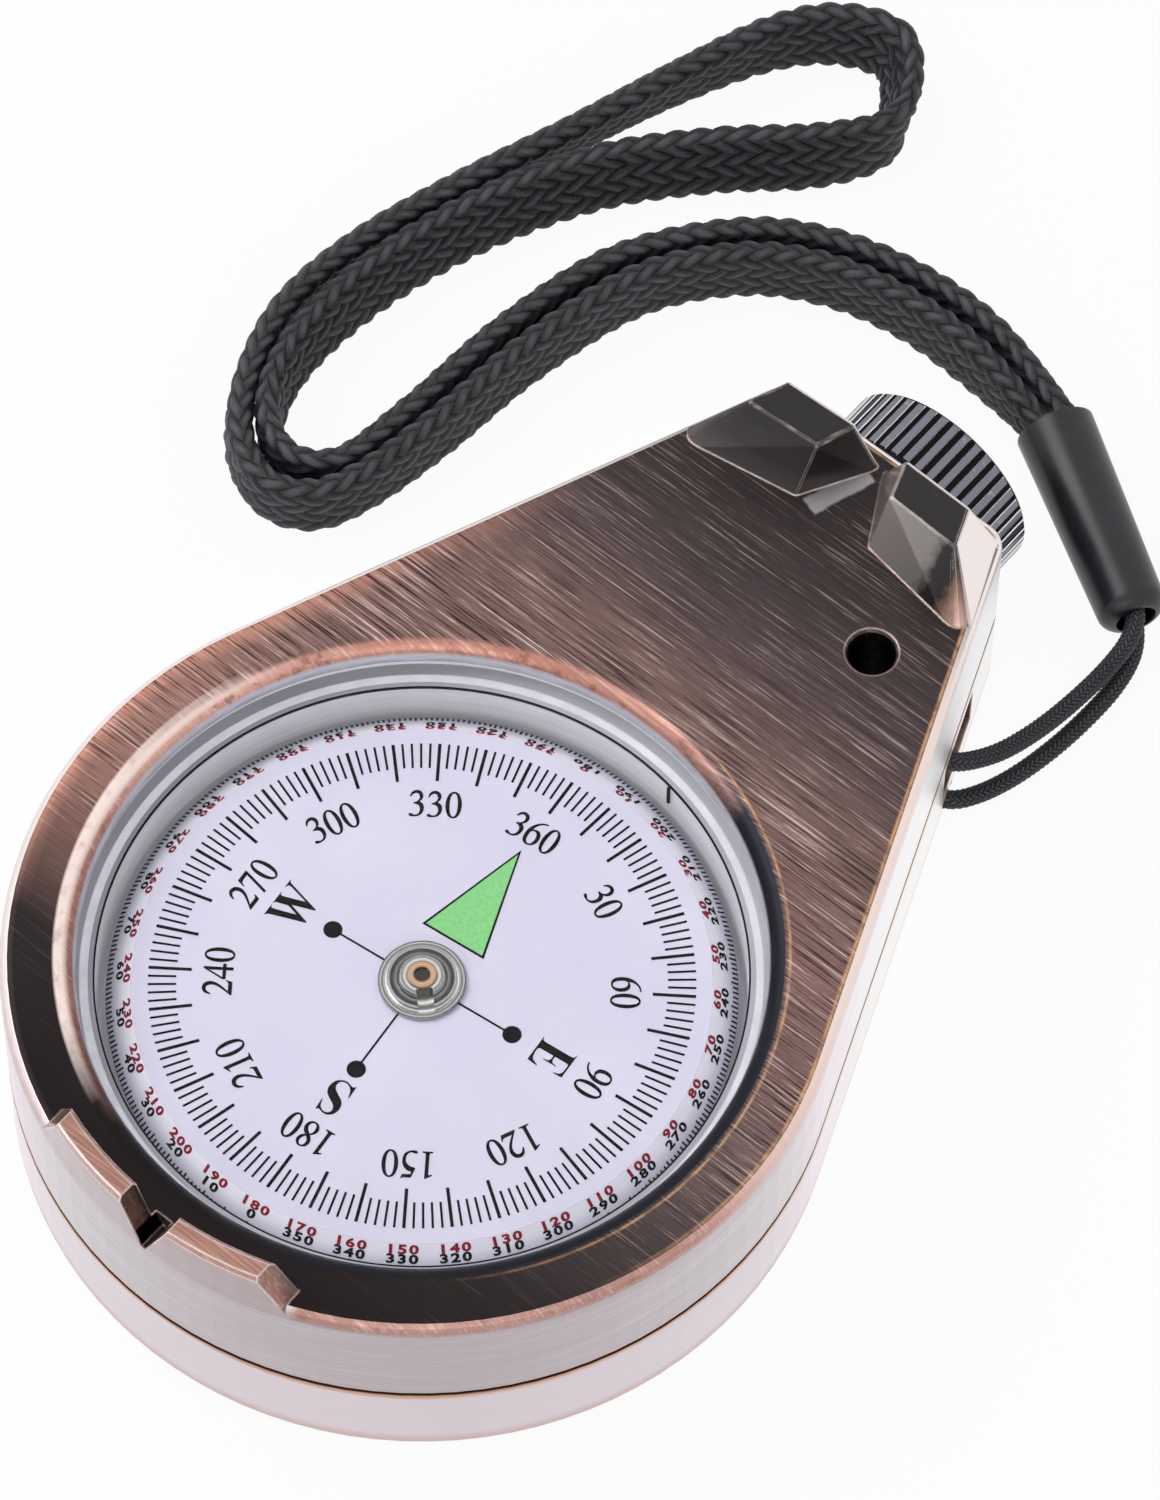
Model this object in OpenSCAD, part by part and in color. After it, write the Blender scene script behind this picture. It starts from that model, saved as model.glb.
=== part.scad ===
/* [Case] */
// Height of the closed case, from its base to the flat top face
case_h = 18; // [17.6:0.1:20]
// Height of the parting line between the two shells, also the eyepiece axis
split_h = 8.2; // [8:0.1:8.8]
// Room for the wall and the screws between the capsule's boss and the outside of the round end
rim_room = 2.9; // [2.8:0.1:4]
// Distance from the dial axis to the rear face
tail_x = 51; // [50:0.5:54]
// Width of the rear face, between the straight sides
tail_w = 19.72; // [19:0.1:22]
// Radius of the rear corners in plan
tail_corner_r = 2; // [1.4:0.1:2.4]
// Thickness of the case walls
wall = 1.8; // [1.5:0.1:2.1]
// Thickness of the floor of the lower shell
floor_t = 1.6; // [1.2:0.1:2]
// Radius of the rounded upper edge
top_edge_r = 0.9; // [0.6:0.1:1.2]
// Radius of the rounded lower edge
base_edge_r = 1; // [0.7:0.1:1.1]
// Depth of the shadow groove at the parting line
seam_depth = 0.25; // [0.15:0.05:0.4]
// Height of the shadow groove in each shell
seam_h = 0.2; // [0.1:0.05:0.3]
// Height of the locating tongue under the upper shell
tongue_h = 0.8; // [0.6:0.1:0.9]

/* [Window] */
// Overlap of the upper shell's lip on the capsule's lid
lip_over = 0.7; // [0.5:0.1:1.2]
// Thickness of the upper shell over the capsule
lip_t = 1.6; // [1.4:0.1:2]
// Radius of the rounded window edge
lip_round_r = 1.5; // [0.8:0.1:1.6]

/* [Front sight] */
// Height of the two tabs above the top face
tab_h = 3.2; // [2.4:0.1:3.6]
// Set-back of the tabs' outer faces from the round end
tab_back = 0.05; // [0.02:0.01:0.2]
// Thickness of the tabs, measured along a radius
tab_t = 1.7; // [1.2:0.1:2]
// Width of the sloping edges along the tops of the tabs
tab_edge = 0.3; // [0.1:0.05:0.5]
// Width across both tabs at their tops
tab_w = 17.4; // [14:0.2:19]
// Extra length of each tab's sloping outer end at its foot
tab_slope = 2.2; // [0.8:0.1:3]
// Width of the notch between the tabs at their tops
notch_w = 4; // [3:0.1:5]
// Depth of the notch below the tops of the tabs
notch_depth = 4.5; // [3:0.1:4.8]

/* [Rear sight] */
// Height of the two ears above the top face
ear_h = 4; // [3:0.1:5]
// Length of the ears along the case at their feet
ear_len = 8.2; // [7:0.1:9]
// Half of the gap between the ears at the front
ear_gap = 3.1; // [2.6:0.1:3.6]
// Radius that softens the ears' edges
ear_edge_r = 0.35; // [0.2:0.05:0.5]
// Radius of the broad edge between each ear's front and outer faces, at its foot
ear_brow_r = 1.2; // [0.8:0.1:1.4]

/* [Lanyard eye] */
// Distance of the upright hole from the rear face
eye_ahead = 13.5; // [13:0.5:15]
// Distance of the upright hole's axis from the outside of the right wall
eye_in = 6.2; // [5.8:0.1:6.8]
// Radius of the upright hole
eye_r = 1.7; // [1.5:0.05:2]
// Width of the chamfer round the hole in the top face
eye_chamfer = 0.2; // [0.1:0.05:0.35]
// Length of the side slot along the wall
slot_w = 6.8; // [6:0.1:7.2]
// Height of metal between the side slot and the parting line's groove
slot_roof = 0.5; // [0.4:0.1:1]
// Shift of the side slot towards the rear
slot_shift = 2.1; // [1.6:0.1:2.4]
// Thickness of the bar that the cord loops round
bar_t = 1.5; // [1.2:0.1:1.7]
// Depth of the groove in the base for the cord
cord_groove_d = 1.5; // [1.4:0.1:1.7]
// Width of that groove
cord_groove_w = 2.4; // [2:0.1:2.8]

/* [Screws] */
// Distance of the front screws from the outside of the round end
front_screw_in = 2.5; // [2.3:0.1:2.6]
// Angle of the front screws from the long axis
front_screw_angle = 125; // [110:1:140]
// Distance of the rear screws from the rear face
rear_screw_in = 5.4; // [5:0.1:6]
// Distance of the rear screws from the outside of the side walls
rear_screw_side = 2.84; // [2.6:0.01:3]
// Radius of a screw's shank
screw_r = 0.6; // [0.5:0.05:0.7]
// Radius of a screw's head
screw_head_r = 1.3; // [1.1:0.05:1.35]
// Height of a screw's head
screw_head_h = 0.9; // [0.7:0.1:1.1]
// Overall length of a screw
screw_len = 12; // [10:0.5:13]
// Radius of the boss round a screw
boss_r = 2.1; // [1.9:0.1:2.3]

/* [Capsule] */
// Reach of the lid and of the cup's flange beyond the cup's wall
flange_out = 0.4; // [0.3:0.1:0.8]
// Thickness of the clear lid
lid_t = 1.9; // [1.5:0.1:2.2]
// Overall height of the cup
cup_h = 9.1; // [8.8:0.1:9.2]
// Inner radius of the cup
cup_inner_r = 22.1; // [21:0.1:23]
// Thickness of the cup's wall
cup_wall = 1.5; // [1.4:0.1:1.8]
// Thickness of the cup's floor
cup_floor_t = 1.5; // [1.2:0.1:1.8]
// Height of the cup's flange
flange_h = 0.9; // [0.7:0.1:1.4]
// Width of the seal
seal_w = 0.5; // [0.4:0.05:0.6]
// Height of the seal
seal_h = 0.5; // [0.3:0.05:0.7]
// Thickness of the gasket under the window's lip
gasket_t = 0.4; // [0.3:0.05:0.6]
// Thickness of the cushion under the cup
cushion_t = 0.8; // [0.6:0.1:1]
// Distance of the cushion's middle line inside the cup's inner wall
cushion_in = 2.9; // [2:0.1:3.6]
// Width of the cushion
cushion_w = 2.2; // [1.8:0.1:2.6]
// Radius of the filling plug
plug_r = 1.2; // [1:0.1:1.5]
// Distance of the filling plug from the dial axis
plug_in = 14; // [12:0.5:15]
// Width of the lubber line on the capsule's wall
lubber_w = 0.2; // [0.1:0.05:0.5]
// Length of the lubber line, down from the lid
lubber_len = 2; // [1:0.1:4]
// Angle of the lubber line from the long axis, towards the left
lubber_angle = -9.7; // [-180:0.1:180]

/* [Dial] */
// Angle of the dial's north from the long axis, towards the left
north_angle = 6.6; // [-180:0.1:180]
// Gap between the dial's rim and the cup
dial_gap = 0.6; // [0.5:0.05:1]
// Width of the conical skirt, seen from above
skirt_w = 1.8; // [1.6:0.1:2.4]
// Drop of the skirt below the face
skirt_drop = 1.5; // [1.3:0.1:2]
// Thickness of the card
card_t = 0.8; // [0.6:0.1:0.9]
// Depth of the card's face below the lid
card_drop = 1.6; // [1.5:0.1:1.9]
// Radius of the hub's lowest step, on the card
hub_r = 3; // [2.7:0.1:3.4]
// Height of the hub above the card
hub_h = 1.05; // [0.9:0.05:1.15]
// Radius of the hub's neck through the card
hub_neck_r = 1.6; // [1.5:0.05:1.8]
// Length of the hub's neck below the face
hub_neck_len = 1.6; // [1.4:0.1:1.7]
// Width of the slot in the hub
hub_slot_w = 1.1; // [0.8:0.1:1.3]
// Direction of the hub's slot, from the long axis
hub_slot_angle = 228; // [0:1:360]
// Outer radius of the brass bush in the hub
bush_r = 1.03; // [0.95:0.01:1.1]
// Inner radius of the brass bush
bush_hole_r = 0.56; // [0.5:0.01:0.6]
// Length of each bar magnet
magnet_len = 15; // [12:0.5:16]
// Width of each bar magnet
magnet_w = 2.2; // [1.8:0.1:2.4]
// Height of each bar magnet
magnet_h = 1.6; // [1.2:0.1:1.8]
// Distance of each magnet's middle line from the pivot
magnet_out = 3.4; // [3.2:0.1:4]

/* [Pivot] */
// Radius of the post's foot, pressed in the cup
post_r = 1.5; // [1.4:0.05:1.55]
// Radius of the post's top
post_top_r = 0.9; // [0.8:0.05:1.1]
// Radius of the steel pin
pin_r = 0.35; // [0.3:0.01:0.4]

/* [Eyepiece] */
// Height of the focusing ring above the base plane
ring_lift = 0.55; // [0.4:0.05:0.8]
// Thickness of the focusing ring's wall
ring_wall = 1.57; // [1.4:0.01:1.8]
// Length of the focusing ring
ring_len = 5; // [4.8:0.1:5.6]
// Gap between the case and the focusing ring at rest
ring_gap = 0.9; // [0.7:0.1:1]
// Number of flutes round the focusing ring
flute_n = 46; // [36:1:50]
// Radius of each flute
flute_r = 0.27; // [0.2:0.01:0.3]
// Chamfer on the focusing ring's rims
ring_chamfer = 0.3; // [0.2:0.05:0.4]
// Thickness of the fixed barrel's wall
barrel_wall = 1; // [0.8:0.05:1.2]
// Reach of the barrel's holding flange beyond the barrel
barrel_flange_out = 1.1; // [0.8:0.05:1.2]
// Thickness of the barrel's holding flange
barrel_flange_t = 1.45; // [1.2:0.05:1.6]
// Length of the barrel inside the case
barrel_in = 5.4; // [5.2:0.1:6]
// Step in radius from the ring's bore to the lens
lens_step = 0.73; // [0.6:0.01:0.9]
// Thickness of the lens at its edge
lens_edge_t = 0.9; // [0.7:0.05:1]
// Rise of each face of the lens
lens_rise = 0.55; // [0.4:0.05:0.6]
// Overlap of the ring's rear wall on the lens
lens_lap = 0.55; // [0.4:0.05:0.8]
// Thickness of the ring's rear wall
rear_wall_t = 0.6; // [0.5:0.05:0.7]
// Thickness of the threaded ring that holds the lens
retainer_t = 0.45; // [0.4:0.05:0.5]
// Radius of the O-ring's cord
oring_cord_r = 0.22; // [0.2:0.01:0.24]

/* [Lanyard] */
// Diameter of the thin cord
cord_d = 1.3; // [1.1:0.1:1.3]
// Width of the wrist strap
strap_w = 5.4; // [5:0.1:5.4]
// Thickness of the wrist strap
strap_t = 1.7; // [1.4:0.1:1.7]
// Radius of the sleeve at its mouth
sleeve_mouth_r = 2.9; // [2.8:0.05:2.95]
// Radius of the sleeve at its cord end
sleeve_end_r = 2.55; // [2.4:0.05:2.6]
// Length of the sleeve
sleeve_len = 16.5; // [16:0.1:17]

/* [Hidden] */
$fn = 64;
round_fn = 120;
// Running clearances: fixed joints, spinning parts and the helical focus fit
fit = 0.05;
slack = 0.1;
spin_gap = 0.3;
focus_fit = 0.08;
overlap = 0.2;
// Steps in a rounded edge, in the round end and in each rear corner
edge_steps = 4;
arc_steps = 60;
corner_steps = 5;

capsule_r = cup_inner_r + cup_wall + flange_out;
capsule_bore_r = capsule_r + slack;
boss_wall = 1.4;
capsule_boss_r = capsule_bore_r + boss_wall;
cup_room = 0.3;
cup_clear_r = cup_inner_r + cup_wall + cup_room;
seal_mid_r = cup_inner_r + cup_wall / 2;
cushion_mid_r = cup_inner_r - cushion_in;
window_r = capsule_r - lip_over;

// The straight sides touch the round end and pass through the ends of the rear face
round_r = capsule_boss_r + rim_room;
side_angle = asin(round_r / norm([tail_x, tail_w / 2])) - atan2(tail_w / 2, tail_x);
sa = sin(side_angle);
ca = cos(side_angle);

lip_z = case_h - lip_t;
lid_top = lip_z - gasket_t;
lid_z = lid_top - lid_t;
cup_z = lid_z - cup_h;
cup_floor_z = cup_z + cup_floor_t;
cushion_z = cup_z - cushion_t;
face_z = lid_z - card_drop;
card_under = face_z - card_t;
magnet_top = card_under - fit;
magnet_z = magnet_top - magnet_h;
hub_top = face_z + hub_h;
neck_z = face_z - hub_neck_len;
bush_len = 2.4;
bush_top = hub_top + slack;
jewel_t = 0.6;
jewel_top = bush_top - 0.2;
jewel_z = jewel_top - jewel_t;
jewel_cup_h = 0.35;
jewel_cup_r = 0.4;
post_boss_r = post_r + 1.1;
post_boss_h = 1;
post_top = neck_z - spin_gap;
pin_tip_h = 0.7;
pin_tip = jewel_z + jewel_cup_h - 0.15;
fluid_r = cup_inner_r - 0.2;
skirt_r = cup_inner_r - dial_gap;
card_r = skirt_r - skirt_w;

ring_r = split_h - ring_lift;
ring_bore_r = ring_r - ring_wall;
barrel_r = ring_bore_r - focus_fit;
barrel_hole_r = barrel_r - barrel_wall;
barrel_flange_r = barrel_r + barrel_flange_out;
tunnel_r = barrel_hole_r + 0.2;
lens_r = ring_bore_r - lens_step;
seat_r = lens_r + slack;
aperture_r = lens_r - lens_lap;
retainer_hole_r = aperture_r - fit;
lens_face_r = (lens_r * lens_r + lens_rise * lens_rise) / (2 * lens_rise);

ring_x = tail_x + ring_gap;
ring_end = ring_x + ring_len;
shoulder_x = ring_end - rear_wall_t;
lens_x = shoulder_x - fit - lens_bulge(aperture_r) - lens_edge_t;
retainer_x = lens_x - fit - lens_bulge(retainer_hole_r) - retainer_t;
seat_x = retainer_x - 0.15;
barrel_end = seat_x - 0.5;
oring_mid_r = ring_bore_r + fit + oring_cord_r;
oring_x = ring_x + 0.9;
oring_groove_w = 0.8;
tail_block_x = tail_x - barrel_in - fit;
flange_x = tail_x - wall - barrel_flange_t - fit;

// The cord's eye: its place, the outward direction of the right side, and the slot above the bar
eye_x = tail_x - eye_ahead;
eye = [eye_x, eye_in / ca - side_y(eye_x)];
side_turn = side_angle - 90;
slot_z = cord_groove_d + bar_t;
slot_h = split_h - tongue_h - slack - slot_roof - slot_z;
eye_block_w = slot_w + 3.6;
front_screw_r = round_r - front_screw_in;
rear_screw_x = tail_x - rear_screw_in;
rear_screw_y = side_y(rear_screw_x) - rear_screw_side / ca;
screw_spots = [
    for (s = [-1, 1]) front_screw_r * [cos(front_screw_angle), s * sin(front_screw_angle)],
    for (s = [-1, 1]) [rear_screw_x, s * rear_screw_y]
];

// Lanyard: the sleeve's cord end and mouth, then the routes of the thin cord and of the strap
sleeve_from = [59.1, -16.2, 2.6];
sleeve_turn = 58.6;
sleeve_tilt = 1.2;
cord_route = [
    [60.4, -14.1, 3.25], [59.2, -16, 3.25], [57.2, -17, 3.15], [54.4, -17.2, 2.9], [51, -17, 2.8],
    [47.6, -16.6, 3], [44.4, -16, 3.6], [42, -15.2, 4.4], [40.3, -14.2, 5.2], [39.2, -12.3, 5.7],
    [38.1, -10.2, 5.9], [37.4, -8.5, 5.15], [37.1, -7.8, 3.35], [37.4, -8.5, 1.55], [38.1, -10.2, 0.8],
    [39, -12.4, 0.8], [39.9, -14.6, 0.8], [41.6, -15.9, 0.8], [44.2, -16.9, 0.8], [47.4, -17.6, 0.9],
    [50.8, -18, 1.1], [54.2, -18.1, 1.5], [57.1, -17.5, 1.75], [59.2, -16, 1.85], [60.4, -14.1, 1.85]
];
// Each strap point also gives its lean from upright, to the right of the way it runs
strap_route = [
    [65.4, -4.2, 2.85, 0], [66.9, -1.6, 2.85, 0], [68.4, 5.6, 2.85, 2], [68.6, 12.3, 2.85, 2],
    [67.2, 18.5, 2.85, 2], [63.9, 23.9, 2.85, 2], [57.6, 28.5, 2.85, 2], [48.4, 30.8, 2.85, 2],
    [39.4, 31.7, 2.85, 2], [32.6, 32.8, 2.85, 0], [28.6, 34.6, 2.85, 0], [27.2, 38, 2.85, 0],
    [29, 42, 2.85, 4], [33.4, 45.1, 2.85, 8], [39.6, 47, 2.85, 12], [47, 46.5, 2.85, 14],
    [55.6, 44.2, 2.85, 16], [64.6, 41, 2.85, 14], [73.4, 38, 2.85, 8], [80.6, 34.9, 2.85, -4],
    [84.6, 31.5, 2.85, -14], [85.9, 27.3, 2.85, -20], [82.7, 24.2, 2.85, -20], [79.4, 23.2, 2.85, 4],
    [75, 26.1, 2.85, 18], [69.9, 31.5, 2.85, 20], [63.3, 37, 2.85, 20], [54.8, 41.2, 2.85, 16],
    [45.8, 43.6, 2.85, 12], [37.6, 43.9, 2.85, 8], [32.1, 41.9, 2.85, 4], [29.9, 38.1, 2.85, 0],
    [32, 34.9, 2.85, 0], [38.6, 33.8, 2.85, -2], [48.2, 33.1, 2.85, -2], [57.8, 30.8, 2.85, -2],
    [65.5, 25.3, 2.85, -2], [69.2, 19.3, 2.85, -2], [70.8, 12.5, 2.85, -2], [70.6, 5.5, 2.85, -2],
    [68.5, -2.6, 2.85, 0], [66.9, -5.1, 2.85, 0]
];
// The strap is squeezed to this share of its width inside the sleeve
strap_squeeze = 0.58;

copper_dark = [0.36, 0.26, 0.23];
copper = [0.66, 0.46, 0.39];
clear_acrylic = [0.84, 0.88, 0.87, 0.45];
steel = [0.72, 0.72, 0.74];
brass = [0.78, 0.62, 0.32];
black = [0.12, 0.12, 0.13];

// Distance of the straight side from the long axis at x
function side_y(x) = (round_r - x * sa) / ca;

// Height of each face of the lens above its edge, at a radius
function lens_bulge(r) = sqrt(lens_face_r * lens_face_r - r * r) - lens_face_r + lens_rise;

// Plan of the case: the round end, two straight sides tangent to it and a flat tail with round corners
function outline_points(inset) =
    let (turn = 90 - side_angle, r = round_r - inset, corner = max(tail_corner_r - inset, 0.3),
        cx = tail_x - inset - corner, cy = (r - corner - cx * sa) / ca)
    concat(
        [for (i = [0 : corner_steps]) let (t = turn * i / corner_steps)
            [cx + corner * cos(t), cy + corner * sin(t)]],
        [for (i = [0 : arc_steps]) let (t = turn + (360 - 2 * turn) * i / arc_steps)
            [r * cos(t), r * sin(t)]],
        [for (i = [0 : corner_steps]) let (t = turn * (i / corner_steps - 1))
            [cx + corner * cos(t), -cy + corner * sin(t)]]
    );

module outline(inset) {
    polygon(outline_points(inset));
}

// Solid through a list of rings that all have the same number of points
module skin(rings) {
    n = len(rings[0]);
    last = len(rings) - 1;
    sides = [
        for (i = [0 : last - 1], k = [0 : n - 1])
            let (a = i * n + k, b = i * n + (k + 1) % n) each [[a, b, b + n], [a, b + n, a + n]]
    ];
    caps = [[for (k = [n - 1 : -1 : 0]) k], [for (k = [0 : n - 1]) last * n + k]];
    polyhedron(points = [for (r = rings) each r], faces = concat(sides, caps));
}

// Solid block of the case's plan, from levels of height and inset given from the top down
module block(levels) {
    skin([for (l = levels) [for (p = outline_points(l[1])) [p[0], p[1], l[0]]]]);
}

// Places its children with their local Z along the eyepiece axis, at x
module on_eyepiece(x) {
    translate([x, 0, split_h]) rotate([0, 90, 0]) children();
}

// Ring with a rectangular section
module ring(inner, outer, z, h) {
    translate([0, 0, z]) difference() {
        cylinder(h = h, r = outer, $fn = round_fn);
        translate([0, 0, -1]) cylinder(h = h + 2, r = inner, $fn = round_fn);
    }
}

// Places its children at the cord's eye, with local X pointing out through the right side
module at_eye() {
    translate([eye[0], eye[1], 0]) rotate([0, 0, side_turn]) children();
}

// Everything both shells keep solid inside: screw bosses, the cord's eye and the tail block
module solid_inside(z, h) {
    for (p = screw_spots) translate([p[0], p[1], z]) cylinder(h = h, r = boss_r);
    translate([eye[0], eye[1], z]) cylinder(h = h, r = eye_r + wall);
    translate([tail_block_x, -round_r, z]) cube([tail_x, 2 * round_r, h]);
}

// Bores for the eyepiece barrel, its flange and the clear way to the capsule
module eyepiece_bores() {
    on_eyepiece(cup_inner_r + cup_wall - 1) cylinder(h = tail_block_x - cup_inner_r, r = tunnel_r);
    on_eyepiece(tail_block_x - overlap) cylinder(h = tail_x, r = barrel_r + fit);
    on_eyepiece(flange_x - fit) cylinder(h = barrel_flange_t + 2 * fit, r = barrel_flange_r + slack);
}

module eye_hole() {
    translate([eye[0], eye[1], -1]) cylinder(h = case_h + 2, r = eye_r);
}

module window_cut() {
    rotate_extrude($fn = round_fn) {
        translate([0, lip_z - 1]) square([window_r, lip_t + 2]);
        difference() {
            translate([0, case_h - lip_round_r]) square([window_r + lip_round_r, lip_round_r + 1]);
            translate([window_r + lip_round_r, case_h - lip_round_r]) circle(lip_round_r);
        }
    }
}

// The two front tabs, cut from a rim of the case's plan so that their outer faces run on from its wall
module front_tabs() {
    foot = tab_w / 2 + tab_slope;
    top = case_h + tab_h;
    inset = tab_back + tab_t;
    intersection() {
        difference() {
            block([[top, tab_back + tab_edge], [top - tab_edge, tab_back], [case_h - 2, tab_back]]);
            block([[top + tab_edge, inset - 2 * tab_edge], [top - tab_edge, inset], [case_h - 3, inset]]);
        }
        translate([-round_r - 2, 0, 0]) rotate([90, 0, 90]) linear_extrude(round_r)
            polygon([
                [-foot, case_h - 2], [-foot, case_h - 1], [-tab_w / 2, top],
                [tab_w / 2, top], [foot, case_h - 1], [foot, case_h - 2]
            ]);
    }
}

module sight_notch() {
    bottom = case_h + tab_h - notch_depth;
    flare = notch_w / 2 * (notch_depth + 1) / notch_depth;
    translate([-round_r - 2, 0, 0]) rotate([90, 0, 90]) linear_extrude(2 + tab_t + 0.5)
        polygon([[-0.15, bottom], [0.15, bottom], [flare, case_h + tab_h + 1], [-flare, case_h + tab_h + 1]]);
}

// One rear ear: a softened block whose faces slope in to its top; each corner gives its place and radius
module rear_ear() {
    foot_x = tail_x - ear_len;
    front_x = foot_x + 3.1;
    rear_x = tail_x - 2.4;
    brow_x = foot_x + 0.5;
    foot_rear_x = tail_x - 1;
    top = case_h + ear_h - ear_edge_r;
    corners = [
        [front_x, side_y(front_x) - 3, top, ear_edge_r],
        [rear_x, side_y(rear_x) - 3, top, ear_edge_r],
        [rear_x + 0.2, ear_gap - 0.6, top, ear_edge_r],
        [front_x + 0.3, ear_gap + 0.3, top, ear_edge_r],
        [brow_x, side_y(brow_x) - (ear_brow_r + fit) / ca, case_h - 1, ear_brow_r],
        [foot_x + 1.1, ear_gap + ear_edge_r, case_h - 0.6, ear_edge_r],
        [foot_rear_x - 0.7, ear_edge_r + fit, case_h - 0.6, ear_edge_r],
        [foot_rear_x, side_y(foot_rear_x) - (ear_edge_r + fit) / ca, case_h - 1, ear_edge_r]
    ];
    hull() for (c = corners) translate([c[0], c[1], c[2]]) sphere(c[3], $fn = 16);
}

module top_shell() {
    rim_z = case_h - top_edge_r;
    color(copper_dark) difference() {
        union() {
            difference() {
                block(concat(
                    [for (i = [0 : edge_steps]) let (t = 90 - 90 * i / edge_steps)
                        [rim_z + top_edge_r * sin(t), top_edge_r * (1 - cos(t))]],
                    [[split_h + seam_h, 0], [split_h, seam_depth]],
                    [[split_h, wall / 2 + fit], [split_h - tongue_h, wall / 2 + fit]]
                ));
                difference() {
                    translate([0, 0, split_h - tongue_h - 1]) linear_extrude(lip_z - split_h + tongue_h + 1)
                        outline(wall);
                    translate([0, 0, split_h]) cylinder(h = case_h, r = capsule_boss_r, $fn = round_fn);
                    solid_inside(split_h, case_h);
                }
            }
            front_tabs();
            rear_ear();
            mirror([0, 1, 0]) rear_ear();
        }
        window_cut();
        translate([0, 0, split_h - 1]) cylinder(h = lip_z - split_h + 1, r = capsule_bore_r, $fn = round_fn);
        sight_notch();
        eyepiece_bores();
        eye_hole();
        translate([eye[0], eye[1], case_h - eye_chamfer])
            cylinder(h = eye_chamfer + 0.01, r1 = eye_r, r2 = eye_r + eye_chamfer);
        for (p = screw_spots) translate([p[0], p[1], split_h - 2])
            cylinder(h = screw_len - split_h + 3, r = screw_r + fit);
    }
}

module bottom_shell() {
    support_h = cushion_z - floor_t;
    color(copper) difference() {
        union() {
            difference() {
                block(concat(
                    [[split_h, seam_depth], [split_h - seam_h, 0]],
                    [for (i = [0 : edge_steps]) let (t = 90 * i / edge_steps)
                        [base_edge_r * (1 - sin(t)), base_edge_r * (1 - cos(t))]]
                ));
                difference() {
                    translate([0, 0, floor_t]) linear_extrude(split_h) outline(wall);
                    solid_inside(0, split_h);
                    at_eye() translate([0, slot_shift - eye_block_w / 2, 0])
                        cube([eye_in, eye_block_w, split_h]);
                }
                translate([0, 0, split_h - tongue_h - slack]) linear_extrude(tongue_h + 1)
                    difference() {
                        outline(wall / 2);
                        outline(wall + fit);
                    }
            }
            ring(cushion_mid_r - cushion_w / 2, cushion_mid_r + cushion_w / 2, floor_t - overlap,
                support_h + overlap);
        }
        translate([0, 0, cushion_z]) cylinder(h = case_h, r = cup_clear_r, $fn = round_fn);
        eyepiece_bores();
        eye_hole();
        at_eye() translate([0, slot_shift - slot_w / 2, slot_z]) cube([eye_in + 1, slot_w, slot_h]);
        at_eye() translate([0, -cord_groove_w / 2, -1]) cube([eye_in + 1, cord_groove_w, cord_groove_d + 1]);
        for (p = screw_spots) translate([p[0], p[1], 0]) {
            translate([0, 0, -1]) cylinder(h = case_h, r = screw_r + 2 * slack);
            translate([0, 0, -1]) cylinder(h = screw_head_h + slack + 1, r = screw_head_r + slack);
        }
    }
}

module case_screws() {
    color(steel) for (p = screw_spots) translate([p[0], p[1], slack]) difference() {
        union() {
            cylinder(h = screw_head_h, r = screw_head_r);
            cylinder(h = screw_len - slack, r = screw_r);
        }
        for (a = [0, 90]) rotate([0, 0, a]) translate([-0.8, -0.15, -1]) cube([1.6, 0.3, 1.4]);
    }
}

module window_gasket() {
    color(black) ring(window_r + slack, capsule_r, lid_top, gasket_t);
}

module capsule_lid() {
    bevel = 0.2;
    color(clear_acrylic) rotate_extrude($fn = round_fn)
        polygon([[0, lid_z], [capsule_r, lid_z], [capsule_r, lid_top - bevel], [capsule_r - bevel, lid_top],
            [0, lid_top]]);
}

module capsule_seal() {
    color(black) ring(seal_mid_r - seal_w / 2, seal_mid_r + seal_w / 2, lid_z - seal_h, seal_h);
}

module capsule_cup() {
    groove_w = seal_w + 2 * fit;
    color(clear_acrylic) difference() {
        union() {
            translate([0, 0, cup_z]) cylinder(h = cup_h, r = cup_inner_r + cup_wall, $fn = round_fn);
            translate([0, 0, lid_z - flange_h]) cylinder(h = flange_h, r = capsule_r, $fn = round_fn);
        }
        difference() {
            translate([0, 0, cup_floor_z]) cylinder(h = cup_h, r = cup_inner_r, $fn = round_fn);
            translate([0, 0, cup_z]) cylinder(h = cup_floor_t + post_boss_h, r = post_boss_r);
        }
        ring(seal_mid_r - groove_w / 2, seal_mid_r + groove_w / 2, lid_z - seal_h - fit, seal_h + 1);
        translate([0, 0, cup_z + spin_gap]) cylinder(h = cup_h, r = post_r + 0.02);
        translate([-plug_in, 0, cup_z - 1]) cylinder(h = cup_floor_t + 2, r = plug_r);
    }
}

module capsule_cushion() {
    color(black) ring(cushion_mid_r - cushion_w / 2 + slack, cushion_mid_r + cushion_w / 2 - slack,
        cushion_z, cushion_t);
}

module fill_plug() {
    color(steel) translate([-plug_in, 0, cup_z + fit]) difference() {
        cylinder(h = cup_floor_t - 2 * fit, r = plug_r - fit);
        translate([-plug_r, -0.15, -1]) cube([2 * plug_r, 0.3, 1.4]);
    }
}

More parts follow.
